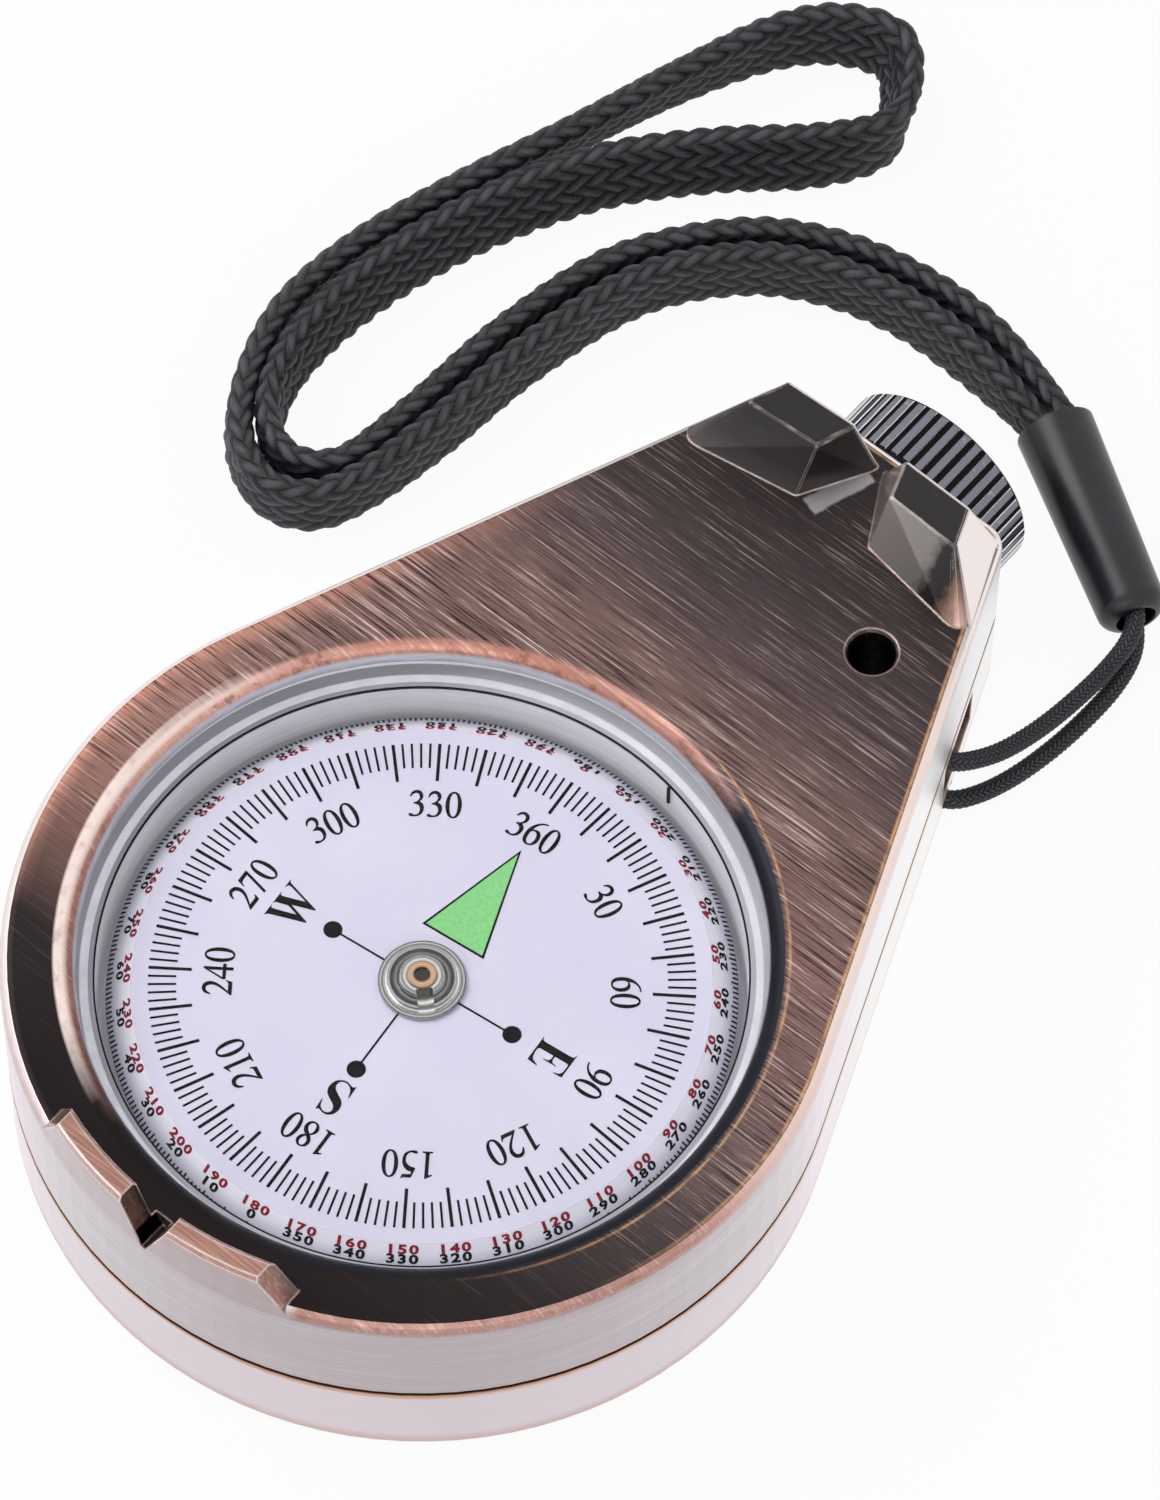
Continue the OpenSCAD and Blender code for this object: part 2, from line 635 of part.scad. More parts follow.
// The fluid fills the capsule except for a running space round the dial, its magnets and the pivot
module damping_fluid() {
    g = spin_gap;
    sweep_r = norm([magnet_len / 2, magnet_out + magnet_w / 2]) + g;
    skirt_low = face_z - skirt_drop - 0.45 - g;
    color([0.86, 0.93, 0.95, 0.25]) rotate_extrude($fn = round_fn) difference() {
        translate([0, cup_floor_z + slack]) square([fluid_r, lid_z - cup_floor_z - 2 * slack]);
        square([post_boss_r + slack, cup_floor_z + post_boss_h + slack]);
        square([post_r + g, lid_z]);
        polygon([
            [0, lid_z + 1], [bush_r + 1, lid_z + 1], [bush_r + 1, hub_top - 0.1], [hub_r + g, hub_top - 0.1],
            [hub_r + g, face_z + g], [card_r + 0.2, face_z + g], [skirt_r + 0.25, face_z - skirt_drop + g],
            [skirt_r + 0.25, skirt_low], [skirt_r - 1, skirt_low], [card_r - 0.7, card_under - g],
            [sweep_r, card_under - g], [sweep_r, magnet_z - g], [0, magnet_z - g]
        ]);
    }
}

module lubber_line() {
    color(black) intersection() {
        ring(fluid_r + 0.02, cup_inner_r - 0.02, lid_z - slack - lubber_len, lubber_len);
        rotate([0, 0, lubber_angle]) translate([0, -lubber_w / 2, 0]) cube([capsule_r, lubber_w, case_h]);
    }
}

module pivot_post() {
    neck = cup_floor_z + post_boss_h;
    color(brass) difference() {
        union() {
            translate([0, 0, cup_z + spin_gap + 0.02]) cylinder(h = neck - cup_z - spin_gap, r = post_r);
            translate([0, 0, neck]) cylinder(h = post_top - neck, r1 = post_r, r2 = post_top_r);
        }
        translate([0, 0, post_top - 2.2]) cylinder(h = 3, r = pin_r + 0.02);
    }
}

module pivot_pin() {
    color(steel) {
        translate([0, 0, post_top - 2.15]) cylinder(h = pin_tip - pin_tip_h - post_top + 2.15, r = pin_r);
        translate([0, 0, pin_tip - pin_tip_h]) cylinder(h = pin_tip_h, r1 = pin_r, r2 = 0.05);
    }
}

module dial_card() {
    low = face_z - skirt_drop;
    color([0.88, 0.87, 0.94]) rotate_extrude($fn = round_fn) polygon([
        [hub_neck_r + fit, card_under], [card_r - 0.35, card_under], [skirt_r - 0.5, low - 0.45],
        [skirt_r, low], [card_r, face_z], [hub_neck_r + fit, face_z]
    ]);
}

// The stepped hub sits on the card, and its neck carries the bush below
module dial_hub() {
    step = hub_h / 3;
    color([0.8, 0.82, 0.82]) difference() {
        rotate_extrude() polygon([
            [bush_r + 0.02, neck_z], [hub_neck_r, neck_z], [hub_neck_r, face_z], [hub_r, face_z],
            [hub_r, face_z + step], [hub_r * 0.8, face_z + step], [hub_r * 0.8, face_z + 2 * step],
            [hub_r * 0.58, face_z + 2 * step], [hub_r * 0.5, hub_top], [bush_r + 0.02, hub_top]
        ]);
        rotate([0, 0, hub_slot_angle]) translate([bush_r, -hub_slot_w / 2, face_z + step])
            cube([hub_r, hub_slot_w, hub_h]);
    }
}

module jewel_bush() {
    color(brass) ring(bush_hole_r, bush_r, bush_top - bush_len, bush_len);
}

module pivot_jewel() {
    color([0.35, 0.1, 0.14]) difference() {
        translate([0, 0, jewel_z]) cylinder(h = jewel_t, r = bush_hole_r - 0.02);
        translate([0, 0, jewel_z - 0.01]) cylinder(h = jewel_cup_h, r1 = jewel_cup_r, r2 = 0.03);
    }
}

module dial_magnets() {
    color(steel) rotate([0, 0, north_angle]) for (s = [-1, 1])
        translate([-magnet_len / 2, s * magnet_out - magnet_w / 2, magnet_z])
            cube([magnet_len, magnet_w, magnet_h]);
}

module eyepiece_barrel() {
    start = tail_x - barrel_in;
    color(black) difference() {
        union() {
            on_eyepiece(start) cylinder(h = barrel_end - start, r = barrel_r);
            on_eyepiece(flange_x) cylinder(h = barrel_flange_t, r = barrel_flange_r);
        }
        on_eyepiece(start - 1) cylinder(h = barrel_end, r = barrel_hole_r);
    }
}

module focus_oring() {
    color(black) on_eyepiece(oring_x) rotate_extrude($fn = 96)
        translate([oring_mid_r, 0]) circle(oring_cord_r, $fn = 24);
}

// Section of the focusing ring, drawn with its front rim at zero
module ring_section() {
    groove = oring_x - ring_x - oring_groove_w / 2;
    polygon([
        [ring_bore_r, 0], [ring_r - ring_chamfer, 0], [ring_r, ring_chamfer],
        [ring_r, ring_len - ring_chamfer], [ring_r - ring_chamfer, ring_len],
        [aperture_r, ring_len], [aperture_r, shoulder_x - ring_x], [seat_r, shoulder_x - ring_x],
        [seat_r, seat_x - ring_x], [ring_bore_r, seat_x - ring_x], [ring_bore_r, groove + oring_groove_w],
        [oring_mid_r + oring_cord_r + fit, groove + oring_groove_w],
        [oring_mid_r + oring_cord_r + fit, groove], [ring_bore_r, groove]
    ]);
}

module focus_ring() {
    color(black) on_eyepiece(ring_x) difference() {
        rotate_extrude($fn = round_fn) ring_section();
        for (i = [0 : flute_n - 1]) rotate([0, 0, 360 * (i + 0.5) / flute_n])
            translate([ring_r + 0.05, 0, -1]) cylinder(h = ring_len + 2, r = flute_r, $fn = 24);
    }
}

module eyepiece_lens() {
    half = lens_edge_t / 2;
    color([0.8, 0.88, 0.92, 0.4]) on_eyepiece(lens_x + half) intersection() {
        translate([0, 0, -2]) cylinder(h = 4, r = lens_r);
        translate([0, 0, lens_face_r - half - lens_rise]) sphere(lens_face_r, $fn = 180);
        translate([0, 0, half + lens_rise - lens_face_r]) sphere(lens_face_r, $fn = 180);
    }
}

module lens_retainer() {
    color(black) on_eyepiece(retainer_x) difference() {
        ring(retainer_hole_r, seat_r - fit, 0, retainer_t);
        for (a = [0, 180]) rotate([0, 0, a]) translate([aperture_r - 1, -0.4, -0.1]) cube([1.4, 0.8, 0.3]);
    }
}

// Direction of a route at point i, taken across its neighbours
function along(route, i) =
    let (a = route[max(i - 1, 0)], b = route[min(i + 1, len(route) - 1)],
        d = [b[0] - a[0], b[1] - a[1], b[2] - a[2]])
    d / norm(d);

// Round section of eight sides; the second direction keeps near upright, or near level on steep runs
function cord_ring(route, i) =
    let (d = along(route, i), level = cross(d, abs(d[2]) > 0.8 ? [-sa, ca, 0] : [0, 0, 1]),
        u = level / norm(level), v = cross(u, d))
    [for (k = [0 : 7]) route[i] + cord_d / 2 * (cos(45 * k) * u + sin(45 * k) * v)];

module lanyard_cord() {
    color(black) skin([for (i = [0 : len(cord_route) - 1]) cord_ring(cord_route, i)]);
}

// Flat section with rounded corners, standing on edge and leaning to the right of its run
function strap_ring(i) =
    let (p = strap_route[i], d = along(strap_route, i), right = [d[1], -d[0], 0] / norm([d[0], d[1]]),
        lean = p[3], up = [0, 0, 1], end = min(i, len(strap_route) - 1 - i) < 2 ? strap_squeeze : 1,
        w = (cos(lean) * up + sin(lean) * right) * strap_w / 2 * end,
        t = (cos(lean) * right - sin(lean) * up) * strap_t / 2)
    [for (c = [[1, -0.5], [0.75, -1], [-0.75, -1], [-1, -0.5], [-1, 0.5], [-0.75, 1], [0.75, 1], [1, 0.5]])
        [p[0], p[1], p[2]] + c[0] * w + c[1] * t];

module wrist_strap() {
    color(black) skin([for (i = [0 : len(strap_route) - 1]) strap_ring(i)]);
}

module cord_sleeve() {
    nose = 1.2;
    strap_depth = 11;
    mouth_wall = 0.4;
    color([0.17, 0.17, 0.19]) translate(sleeve_from) rotate([0, 90 - sleeve_tilt, sleeve_turn])
        rotate_extrude() difference() {
            union() {
                polygon([[0, 0], [sleeve_end_r - nose, 0], [sleeve_end_r, nose], [sleeve_mouth_r, sleeve_len],
                    [0, sleeve_len]]);
                intersection() {
                    translate([sleeve_end_r - nose, nose]) circle(nose);
                    square([sleeve_end_r, nose]);
                }
            }
            translate([0, sleeve_len - strap_depth]) square([sleeve_mouth_r - mouth_wall, strap_depth + 1]);
            translate([0, -1]) square([cord_d / 2 + 0.85, sleeve_len]);
        }
}

top_shell();
bottom_shell();
case_screws();
window_gasket();
capsule_lid();
capsule_seal();
capsule_cup();
capsule_cushion();
fill_plug();
damping_fluid();
lubber_line();
pivot_post();
pivot_pin();
dial_card();
dial_hub();
jewel_bush();
pivot_jewel();
dial_magnets();
eyepiece_barrel();
focus_oring();
focus_ring();
eyepiece_lens();
lens_retainer();
lanyard_cord();
cord_sleeve();
wrist_strap();
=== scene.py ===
import math

import bpy
import numpy as np
from mathutils import Matrix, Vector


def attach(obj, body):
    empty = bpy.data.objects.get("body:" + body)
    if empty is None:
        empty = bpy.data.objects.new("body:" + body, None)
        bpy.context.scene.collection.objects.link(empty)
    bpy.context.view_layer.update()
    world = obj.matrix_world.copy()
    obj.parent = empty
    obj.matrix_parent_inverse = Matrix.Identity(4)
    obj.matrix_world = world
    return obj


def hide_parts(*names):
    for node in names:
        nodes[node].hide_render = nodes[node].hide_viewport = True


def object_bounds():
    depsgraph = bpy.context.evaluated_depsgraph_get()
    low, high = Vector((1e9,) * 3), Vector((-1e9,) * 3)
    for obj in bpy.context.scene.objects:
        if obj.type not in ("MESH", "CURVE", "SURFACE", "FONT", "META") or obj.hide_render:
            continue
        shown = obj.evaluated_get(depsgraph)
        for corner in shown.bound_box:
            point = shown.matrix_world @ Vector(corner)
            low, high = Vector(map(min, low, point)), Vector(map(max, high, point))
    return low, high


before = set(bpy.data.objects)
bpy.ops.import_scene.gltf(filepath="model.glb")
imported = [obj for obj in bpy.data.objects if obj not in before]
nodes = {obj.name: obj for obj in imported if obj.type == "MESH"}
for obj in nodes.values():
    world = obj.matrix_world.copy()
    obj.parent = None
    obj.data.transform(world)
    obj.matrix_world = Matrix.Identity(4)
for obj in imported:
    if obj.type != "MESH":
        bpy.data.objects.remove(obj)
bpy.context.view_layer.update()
mm = 0.001
print("frame loaded:", len(nodes), "nodes")

# Camera: 8000 px focal length over 1160 x 1500 px, fitted to the dial's ticks and the case's outline, in mm
camera = dict(focal=8000, centre=(580, 750), height=1500, tilt=60.34, roll=-0.95, turn=51.0,
              dial=(422.14, 982.07), dialHeight=13.2, distance=541.5)


def turned(degrees):
    # Turn about Z, as an array
    return np.array(Matrix.Rotation(math.radians(degrees), 3, "Z"))


# The view turns about Z, then tilts, then rolls; the dial's middle keeps its place in the picture
tiltSin, tiltCos = math.sin(math.radians(camera["tilt"])), math.cos(math.radians(camera["tilt"]))
viewTurn = turned(camera["roll"]) @ np.array([[1, 0, 0], [0, tiltSin, tiltCos], [0, -tiltCos, tiltSin]]) \
    @ turned(camera["turn"])
shiftU, shiftV = (np.array(camera["dial"]) - camera["centre"]) * camera["distance"] / camera["focal"]
place = np.eye(4)
place[:3, :3] = viewTurn.T
place[:3, 3] = (np.array([0, 0, camera["dialHeight"]])
                - viewTurn.T @ np.array([shiftU, -shiftV, -camera["distance"]])) * mm
lens = bpy.data.cameras.new("photoCamera")
lens.sensor_fit = "VERTICAL"
lens.sensor_height = 36
lens.lens = camera["focal"] / camera["height"] * 36
lens.clip_start = 0.01
lens.clip_end = 20
photoCamera = bpy.data.objects.new("photoCamera", lens)
photoCamera.matrix_world = Matrix(place.tolist())
bpy.context.scene.collection.objects.link(photoCamera)
bpy.context.scene.camera = photoCamera
print("camera set")


def linear(hexColour):
    # sRGB to linear: a straight line for small values, a power of 2.4 above
    v = np.array([int(hexColour[i:i + 2], 16) / 255 for i in (1, 3, 5)])
    return (*np.where(v <= 0.04045, v / 12.92, ((v + 0.055) / 1.055) ** 2.4).tolist(), 1.0)


def add(tree, kind, inputs=None, out=0, stops=None, **settings):
    # One node with its settings, colour stops, links or values; gives back the output that is wanted
    node = tree.nodes.new("ShaderNode" + kind)
    for key, value in settings.items():
        setattr(node, key, value)
    if stops:
        marks = node.color_ramp.elements
        while len(marks) < len(stops):
            marks.new(0.5)
        for mark, (position, colour) in zip(marks, stops):
            mark.position = position
            mark.color = linear(colour) if isinstance(colour, str) else (colour, colour, colour, 1)
    for key, value in (inputs or {}).items():
        if isinstance(value, bpy.types.NodeSocket):
            tree.links.new(value, node.inputs[key])
        else:
            node.inputs[key].default_value = linear(value) if isinstance(value, str) else value
    return node.outputs[out] if len(node.outputs) else node


def within(tree, *parts, curve="LINEAR"):
    # Product of its parts: an output as it is, and (value, start, end, low, high) as a slope, whose low and
    # high are 0 and 1 where they are left out
    whole = None
    for part in parts:
        if isinstance(part, tuple):
            part = add(tree, "MapRange", dict(enumerate(part)), interpolation_type=curve)
        whole = add(tree, "Math", {0: whole, 1: part}, operation="MULTIPLY") if whole else part
    return whole


def layered(tree, colour, layers):
    # Colours laid over one another, each as strongly as its own value says
    for strength, cover in layers:
        colour = add(tree, "Mix", {0: strength, 6: colour, 7: cover}, out=2, data_type="RGBA")
    return colour


def newMaterial(name):
    # A material with an empty node tree
    material = bpy.data.materials.new(name)
    material.use_nodes = True
    material.node_tree.nodes.clear()
    return material, material.node_tree


def axisRadius(tree, vector):
    # Distance from the Z axis: the length of the vector without its height
    level = add(tree, "VectorMath", {0: vector, 1: (1, 1, 0)}, operation="MULTIPLY")
    return add(tree, "VectorMath", {0: level}, out=1, operation="LENGTH")


def toMesh(name, points, groups, uv=None, material=None, smooth=True):
    # A piece from arrays: points (n, 3), groups of equal faces, and one uv row for each face corner
    sizes = np.concatenate([np.full(len(g), np.shape(g)[1]) for g in groups])
    corners = np.concatenate([np.ravel(g) for g in groups]).astype(np.int32)
    mesh = bpy.data.meshes.new(name)
    mesh.vertices.add(len(points))
    mesh.vertices.foreach_set("co", np.ascontiguousarray(points, np.float32).ravel())
    mesh.loops.add(len(corners))
    mesh.loops.foreach_set("vertex_index", corners)
    mesh.polygons.add(len(sizes))
    mesh.polygons.foreach_set("loop_start", np.r_[0, np.cumsum(sizes)[:-1]].astype(np.int32))
    mesh.polygons.foreach_set("use_smooth", np.full(len(sizes), smooth))
    mesh.update(calc_edges=True)
    if uv is not None:
        mesh.uv_layers.new(name="route").data.foreach_set("uv", np.ascontiguousarray(uv, np.float32).ravel())
    mesh.validate()
    piece = bpy.data.objects.new(name, mesh)
    bpy.context.scene.collection.objects.link(piece)
    if material:
        mesh.materials.append(material)
    return piece


def smoothRoute(points, step):
    # Catmull-Rom curve through the rows of points, taken again at even steps of its length
    p = np.asarray(points, float)
    p = np.vstack([2 * p[0] - p[1], p, 2 * p[-1] - p[-2]])
    t = np.linspace(0, 1, 24, endpoint=False)[None, :, None]
    a, b, c, d = (p[i:len(p) - 3 + i, None, :] for i in range(4))
    curve = 0.5 * (2 * b + (c - a) * t + (2 * a - 5 * b + 4 * c - d) * t ** 2
                   + (3 * b - a - 3 * c + d) * t ** 3)
    curve = np.vstack([curve.reshape(-1, p.shape[1]), p[-2]])
    length = np.r_[0, np.cumsum(np.linalg.norm(np.diff(curve[:, :3], axis=0), axis=1))]
    s = np.linspace(0, length[-1], int(length[-1] / step) + 1)
    return np.stack([np.interp(s, length, curve[:, k]) for k in range(curve.shape[1])], 1), s


def braidHeight(around, along, strands, pitch):
    # Two-over two-under braid: one family of strands follows whole numbers of u, the other of v. A strand is
    # a parabola across its width and swells along each float, which is two crossings long
    u, v = strands * around + along / pitch, strands * around - along / pitch
    fu, fv = np.floor(u), np.floor(v)
    first = np.mod(fu + fv, 4) < 2
    across = np.where(first, u - fu, v - fv)
    run = np.where(first, np.mod(v + fu, 4), np.mod(u + fv, 4) - 2) / 2
    return (1 - (2 * across - 1) ** 2) * (0.5 + 0.5 * np.sin(np.pi * run))


def tube(name, centre, s, section, out, braid, material):
    # Skin of a section carried along a route: rows follow the route, columns go round; the braid's height
    # pushes each point out, and both ends are closed with one face
    rows, columns = section.shape[:2]
    around = np.arange(columns) / columns
    height = braidHeight(around[None, :], s[:, None], braid["strands"], braid["pitch"])
    points = centre[:, None, :] + section + out * ((height - 0.6) * braid["swell"])[..., None]
    r, c = (k.ravel() for k in np.meshgrid(np.arange(rows - 1), np.arange(columns), indexing="ij"))
    n = (c + 1) % columns
    quads = np.stack([r * columns + c, r * columns + n, (r + 1) * columns + n, (r + 1) * columns + c], 1)
    uv = np.stack([np.stack([c, c + 1, c + 1, c], 1) / columns, s[np.stack([r, r, r + 1, r + 1], 1)]], 2)
    ends = np.arange(columns)[None, :]
    caps = np.stack([np.zeros(columns), np.zeros(columns)], 1)
    return toMesh(name, points.reshape(-1, 3) * mm, [quads, ends[:, ::-1], ends + (rows - 1) * columns],
                  np.vstack([uv.reshape(-1, 2), caps, caps]) * [1, mm], material)


# The two braids in mm, their lengths in metres: strands each way, pitch of a crossing, how far a strand
# swells, and step and columns of the mesh. A row of the strap's route is x, y and the lean of its upright
# width towards the right in degrees; a row of the cord's is x, y, z
strap = dict(width=5.4, thickness=1.7, strands=12, pitch=1.75, swell=0.42, step=0.24, columns=84,
             length=0.279, height=2.85, narrow=0.58,
             route=[[65.4, -4.2, 0], [66.9, -1.6, 0], [68.4, 5.6, 2], [68.6, 12.3, 2], [67.2, 18.5, 2],
                    [63.9, 23.9, 2], [57.6, 28.5, 2], [48.4, 30.8, 2], [39.4, 31.7, 2], [32.6, 32.8, 0],
                    [28.6, 34.6, 0], [27.2, 38, 0], [29, 42, 4], [33.4, 45.1, 8], [39.6, 47, 12],
                    [47, 46.5, 14], [55.6, 44.2, 16], [64.6, 41, 14], [73.4, 38, 8], [80.6, 34.9, -4],
                    [84.6, 31.5, -14], [85.9, 27.3, -20], [82.7, 24.2, -20], [79.4, 23.2, 4],
                    [75, 26.1, 18], [69.9, 31.5, 20], [63.3, 37, 20], [54.8, 41.2, 16], [45.8, 43.6, 12],
                    [37.6, 43.9, 8], [32.1, 41.9, 4], [29.9, 38.1, 0], [32, 34.9, 0], [38.6, 33.8, -2],
                    [48.2, 33.1, -2], [57.8, 30.8, -2], [65.5, 25.3, -2], [69.2, 19.3, -2],
                    [70.8, 12.5, -2], [70.6, 5.5, -2], [68.5, -2.6, 0], [66.9, -5.1, 0]])
cord = dict(width=1.3, strands=12, pitch=0.42, swell=0.12, step=0.1, columns=72, length=0.062,
            route=[[60.4, -14.1, 3.25], [59.2, -16, 3.25], [57.2, -17, 3.15], [54.4, -17.2, 2.9],
                   [51, -17, 2.8], [47.6, -16.6, 3], [44.4, -16, 3.6], [42, -15.2, 4.4],
                   [40.3, -14.2, 5.2], [39.2, -12.3, 5.7], [38.1, -10.2, 5.9], [37.4, -8.5, 5.15],
                   [37.1, -7.8, 3.35], [37.4, -8.5, 1.55], [38.1, -10.2, 0.8], [39, -12.4, 0.8],
                   [39.9, -14.6, 0.8], [41.6, -15.9, 0.8], [44.2, -16.9, 0.8], [47.4, -17.6, 0.9],
                   [50.8, -18, 1.1], [54.2, -18.1, 1.5], [57.1, -17.5, 1.75], [59.2, -16, 1.85],
                   [60.4, -14.1, 1.85]])


def yarnMaterial(name, piece, fibres, depth, colours):
    # Black nylon yarn, plaited: dull in the gaps and painted shade darkens them, a painted highlight lightens
    # each float's crown, and each float has a soft grey sheen and fine fibres.
    # Strands are found as in braidHeight: u and v are the two families, fu and fv their whole numbers
    material, tree = newMaterial(name)
    uv = add(tree, "SeparateXYZ", {0: add(tree, "UVMap", uv_map="route")})
    ring = add(tree, "Math", {0: uv, 1: float(piece["strands"])}, operation="MULTIPLY")
    climb = add(tree, "Math", {0: uv.node.outputs[1], 1: piece["pitch"] * mm}, operation="DIVIDE")
    u = add(tree, "Math", {0: ring, 1: climb}, operation="ADD")
    v = add(tree, "Math", {0: ring, 1: climb}, operation="SUBTRACT")
    fu = add(tree, "Math", {0: u}, operation="FLOOR")
    fv = add(tree, "Math", {0: v}, operation="FLOOR")
    both, runV, runU = (add(tree, "Math", {0: add(tree, "Math", {0: a, 1: b}, operation="ADD"), 1: 4.0},
                            operation="FLOORED_MODULO") for a, b in ((fu, fv), (v, fu), (u, fv)))
    first = add(tree, "Math", {0: both, 1: 2.0}, operation="LESS_THAN")
    across = add(tree, "Mix", {0: first, 2: add(tree, "Math", {0: v, 1: fv}, operation="SUBTRACT"),
                               3: add(tree, "Math", {0: u, 1: fu}, operation="SUBTRACT")})
    runU = add(tree, "Math", {0: runU, 1: 2.0}, operation="SUBTRACT")
    run = add(tree, "Mix", {0: first, 2: runU, 3: runV})
    swell, arch = (add(tree, "Math", {0: add(tree, "Math", {0: part, 1: turn}, operation="MULTIPLY")},
                       operation="SINE") for part, turn in ((run, math.pi / 2), (across, math.pi)))
    height = add(tree, "Math", {0: arch, 1: add(tree, "Math", {0: swell, 1: 0.5, 2: 0.5},
                                                operation="MULTIPLY_ADD")}, operation="MULTIPLY")
    grain = add(tree, "CombineXYZ", {0: add(tree, "Math", {0: across, 1: fibres}, operation="MULTIPLY"),
                                     1: run, 2: add(tree, "Math", {0: both, 1: 7.3}, operation="MULTIPLY")})
    threads = add(tree, "TexNoise", {"Vector": grain, "Scale": 1.0, "Detail": 2.0, "Roughness": 0.7})
    drift = add(tree, "TexNoise", {"Vector": add(tree, "TexCoord", out="Object"), "Scale": 260.0,
                                   "Detail": 3.0})
    level = add(tree, "Math", {0: drift, 1: 0.5, 2: -0.42}, operation="MULTIPLY_ADD")
    level = add(tree, "Math", {0: threads, 1: 0.35, 2: level}, operation="MULTIPLY_ADD")
    key = add(tree, "CombineXYZ", {0: add(tree, "Mix", {0: first, 2: fv, 3: fu}), 1: both})
    odd = add(tree, "TexWhiteNoise", {"Vector": key})
    # The tone by height paints shade into the gaps and a highlight onto each crown
    tone = add(tree, "Math", {0: height, 1: level}, operation="ADD")
    tone = add(tree, "Math", {0: odd, 1: 0.16, 2: tone}, operation="MULTIPLY_ADD", use_clamp=True)
    colour = add(tree, "ValToRGB", {0: tone}, stops=colours)
    relief = add(tree, "Math", {0: threads, 1: 0.18, 2: height}, operation="MULTIPLY_ADD")
    bump = add(tree, "Bump", {"Strength": 0.9, "Distance": depth * mm, "Height": relief})
    shader = add(tree, "BsdfPrincipled", {"Base Color": colour, "Roughness": 0.5, "Specular IOR Level": 0.5,
                                          "Sheen Weight": 0.25, "Sheen Roughness": 0.4,
                                          "Sheen Tint": "#8a8a96", "Normal": bump})
    add(tree, "OutputMaterial", {0: shader})
    return material


strapYarn = yarnMaterial("blackNylonPlait", strap, 7.0, 0.3, [(0.0, "#08080a"), (0.35, "#18181b"),
                                                              (0.75, "#2b2b30"), (1.0, "#47474f")])
cordYarn = yarnMaterial("blackNylonCord", cord, 5.0, 0.16, [(0.0, "#08080a"), (0.35, "#19191c"),
                                                            (0.75, "#2d2d33"), (1.0, "#4b4b54")])


def strapPiece():
    # The flat braid stands on edge: a stadium whose width leans by the route's angle to the right of its
    # run. It is pinched to its narrow share at the two points next to each end, at the sleeve
    x, y, tilt = np.array(strap["route"], float).T
    share = np.ones(len(x))
    share[[0, 1, -2, -1]] = strap["narrow"]
    route, s = smoothRoute(np.stack([x, y, np.full(len(x), strap["height"]), tilt, share], 1), strap["step"])
    run = np.gradient(route[:, :3], axis=0)
    run /= np.linalg.norm(run[:, :2], axis=1)[:, None]
    right = np.stack([run[:, 1], -run[:, 0], np.zeros(len(run))], 1)
    up = np.array([0, 0, 1.0])
    lean = np.radians(route[:, 3])[:, None]
    wide = np.cos(lean) * up + np.sin(lean) * right
    thick = np.cos(lean) * right - np.sin(lean) * up
    radius = strap["thickness"] / 2
    flat = strap["width"] / 2 - radius
    half = np.linspace(0, np.pi, 181)
    turn = np.r_[half, half + np.pi, 0]
    x = radius * np.cos(turn)
    y = radius * np.sin(turn) + flat * np.repeat([1, -1, 1], [181, 181, 1])
    length = np.r_[0, np.cumsum(np.hypot(np.diff(x), np.diff(y)))]
    at = np.linspace(0, length[-1], strap["columns"], endpoint=False)
    x, y = np.interp(at, length, x), np.interp(at, length, y)
    core = np.clip(y, -flat, flat)
    outX, outY = x / radius, (y - core) / radius
    y = y[None, :] * route[:, 4:5]
    section = thick[:, None, :] * x[None, :, None] + wide[:, None, :] * y[..., None]
    out = thick[:, None, :] * outX[None, :, None] + wide[:, None, :] * outY[None, :, None]
    piece = tube("wristStrap", route[:, :3], s, section, out, strap, strapYarn)
    return piece, route[::8, :3] * mm, s[-1]


def cordPiece():
    # A round braid: its section's first direction stays near upright, the second is square to it and the run
    route, s = smoothRoute(cord["route"], cord["step"])
    run = np.gradient(route, axis=0)
    run /= np.linalg.norm(run, axis=1)[:, None]
    helper = np.array([math.sin(math.radians(22.2)), -math.cos(math.radians(22.2)), 0.35])
    side = np.cross(run, np.cross(helper, run))
    side /= np.linalg.norm(side, axis=1)[:, None]
    other = np.cross(side, run)
    turn = np.linspace(0, 2 * np.pi, cord["columns"], endpoint=False)[None, :, None]
    out = np.cos(turn) * side[:, None, :] + np.sin(turn) * other[:, None, :]
    piece = tube("lanyardCord", route, s, out * cord["width"] / 2, out, cord, cordYarn)
    return piece, route[::6] * mm, s[-1]


strapBraid, strapPath, strapLength = strapPiece()
cordBraid, cordPath, cordLength = cordPiece()
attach(strapBraid, "case")
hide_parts("wrist_strap")
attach(cordBraid, "case")
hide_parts("lanyard_cord")
print("lanyard made: strap %.1f mm, cord %.1f mm" % (strapLength, cordLength))

# Heights and radii in mm; north is the direction of the dial's zero to the case's long axis, in degrees
dial = dict(face=12.5, rim=19.7, tickRim=18.7, skirtRim=21.5, skirtLow=11.0, north=6.6, lift=0.015,
            ink=0.008)
# Print on the face, in shares of the tick ring's radius where not in mm. Ticks: outer end, then width in mm
# and inner end. Figures and letters: foot, head, and width in mm of a thousandth of the body. Lines: width
# and start in mm. Dots: radius and places. Pointer with its outline, then its paint: tip, foot, half width
facePrint = dict(tickEnd=0.993, long=(0.23, 0.836), short=(0.16, 0.89), figures=(0.686, 0.793, 0.0025),
                 letters=(0.49, 0.635, 0.0034), line=(0.15, 2.6), dot=0.035, side=0.39, south=0.426,
                 pointer=(0.654, 0.2, 0.134), paint=(0.630, 0.209, 0.122))
# Print on the skirt, in mm: how far down the slope the figures and ticks stand, and their sizes
skirtPrint = dict(red=0.74, black=1.40, wide=0.98, high=0.66, pitch=0.78, ticks=2.28, tick=0.14, short=0.5,
                  long=0.62)
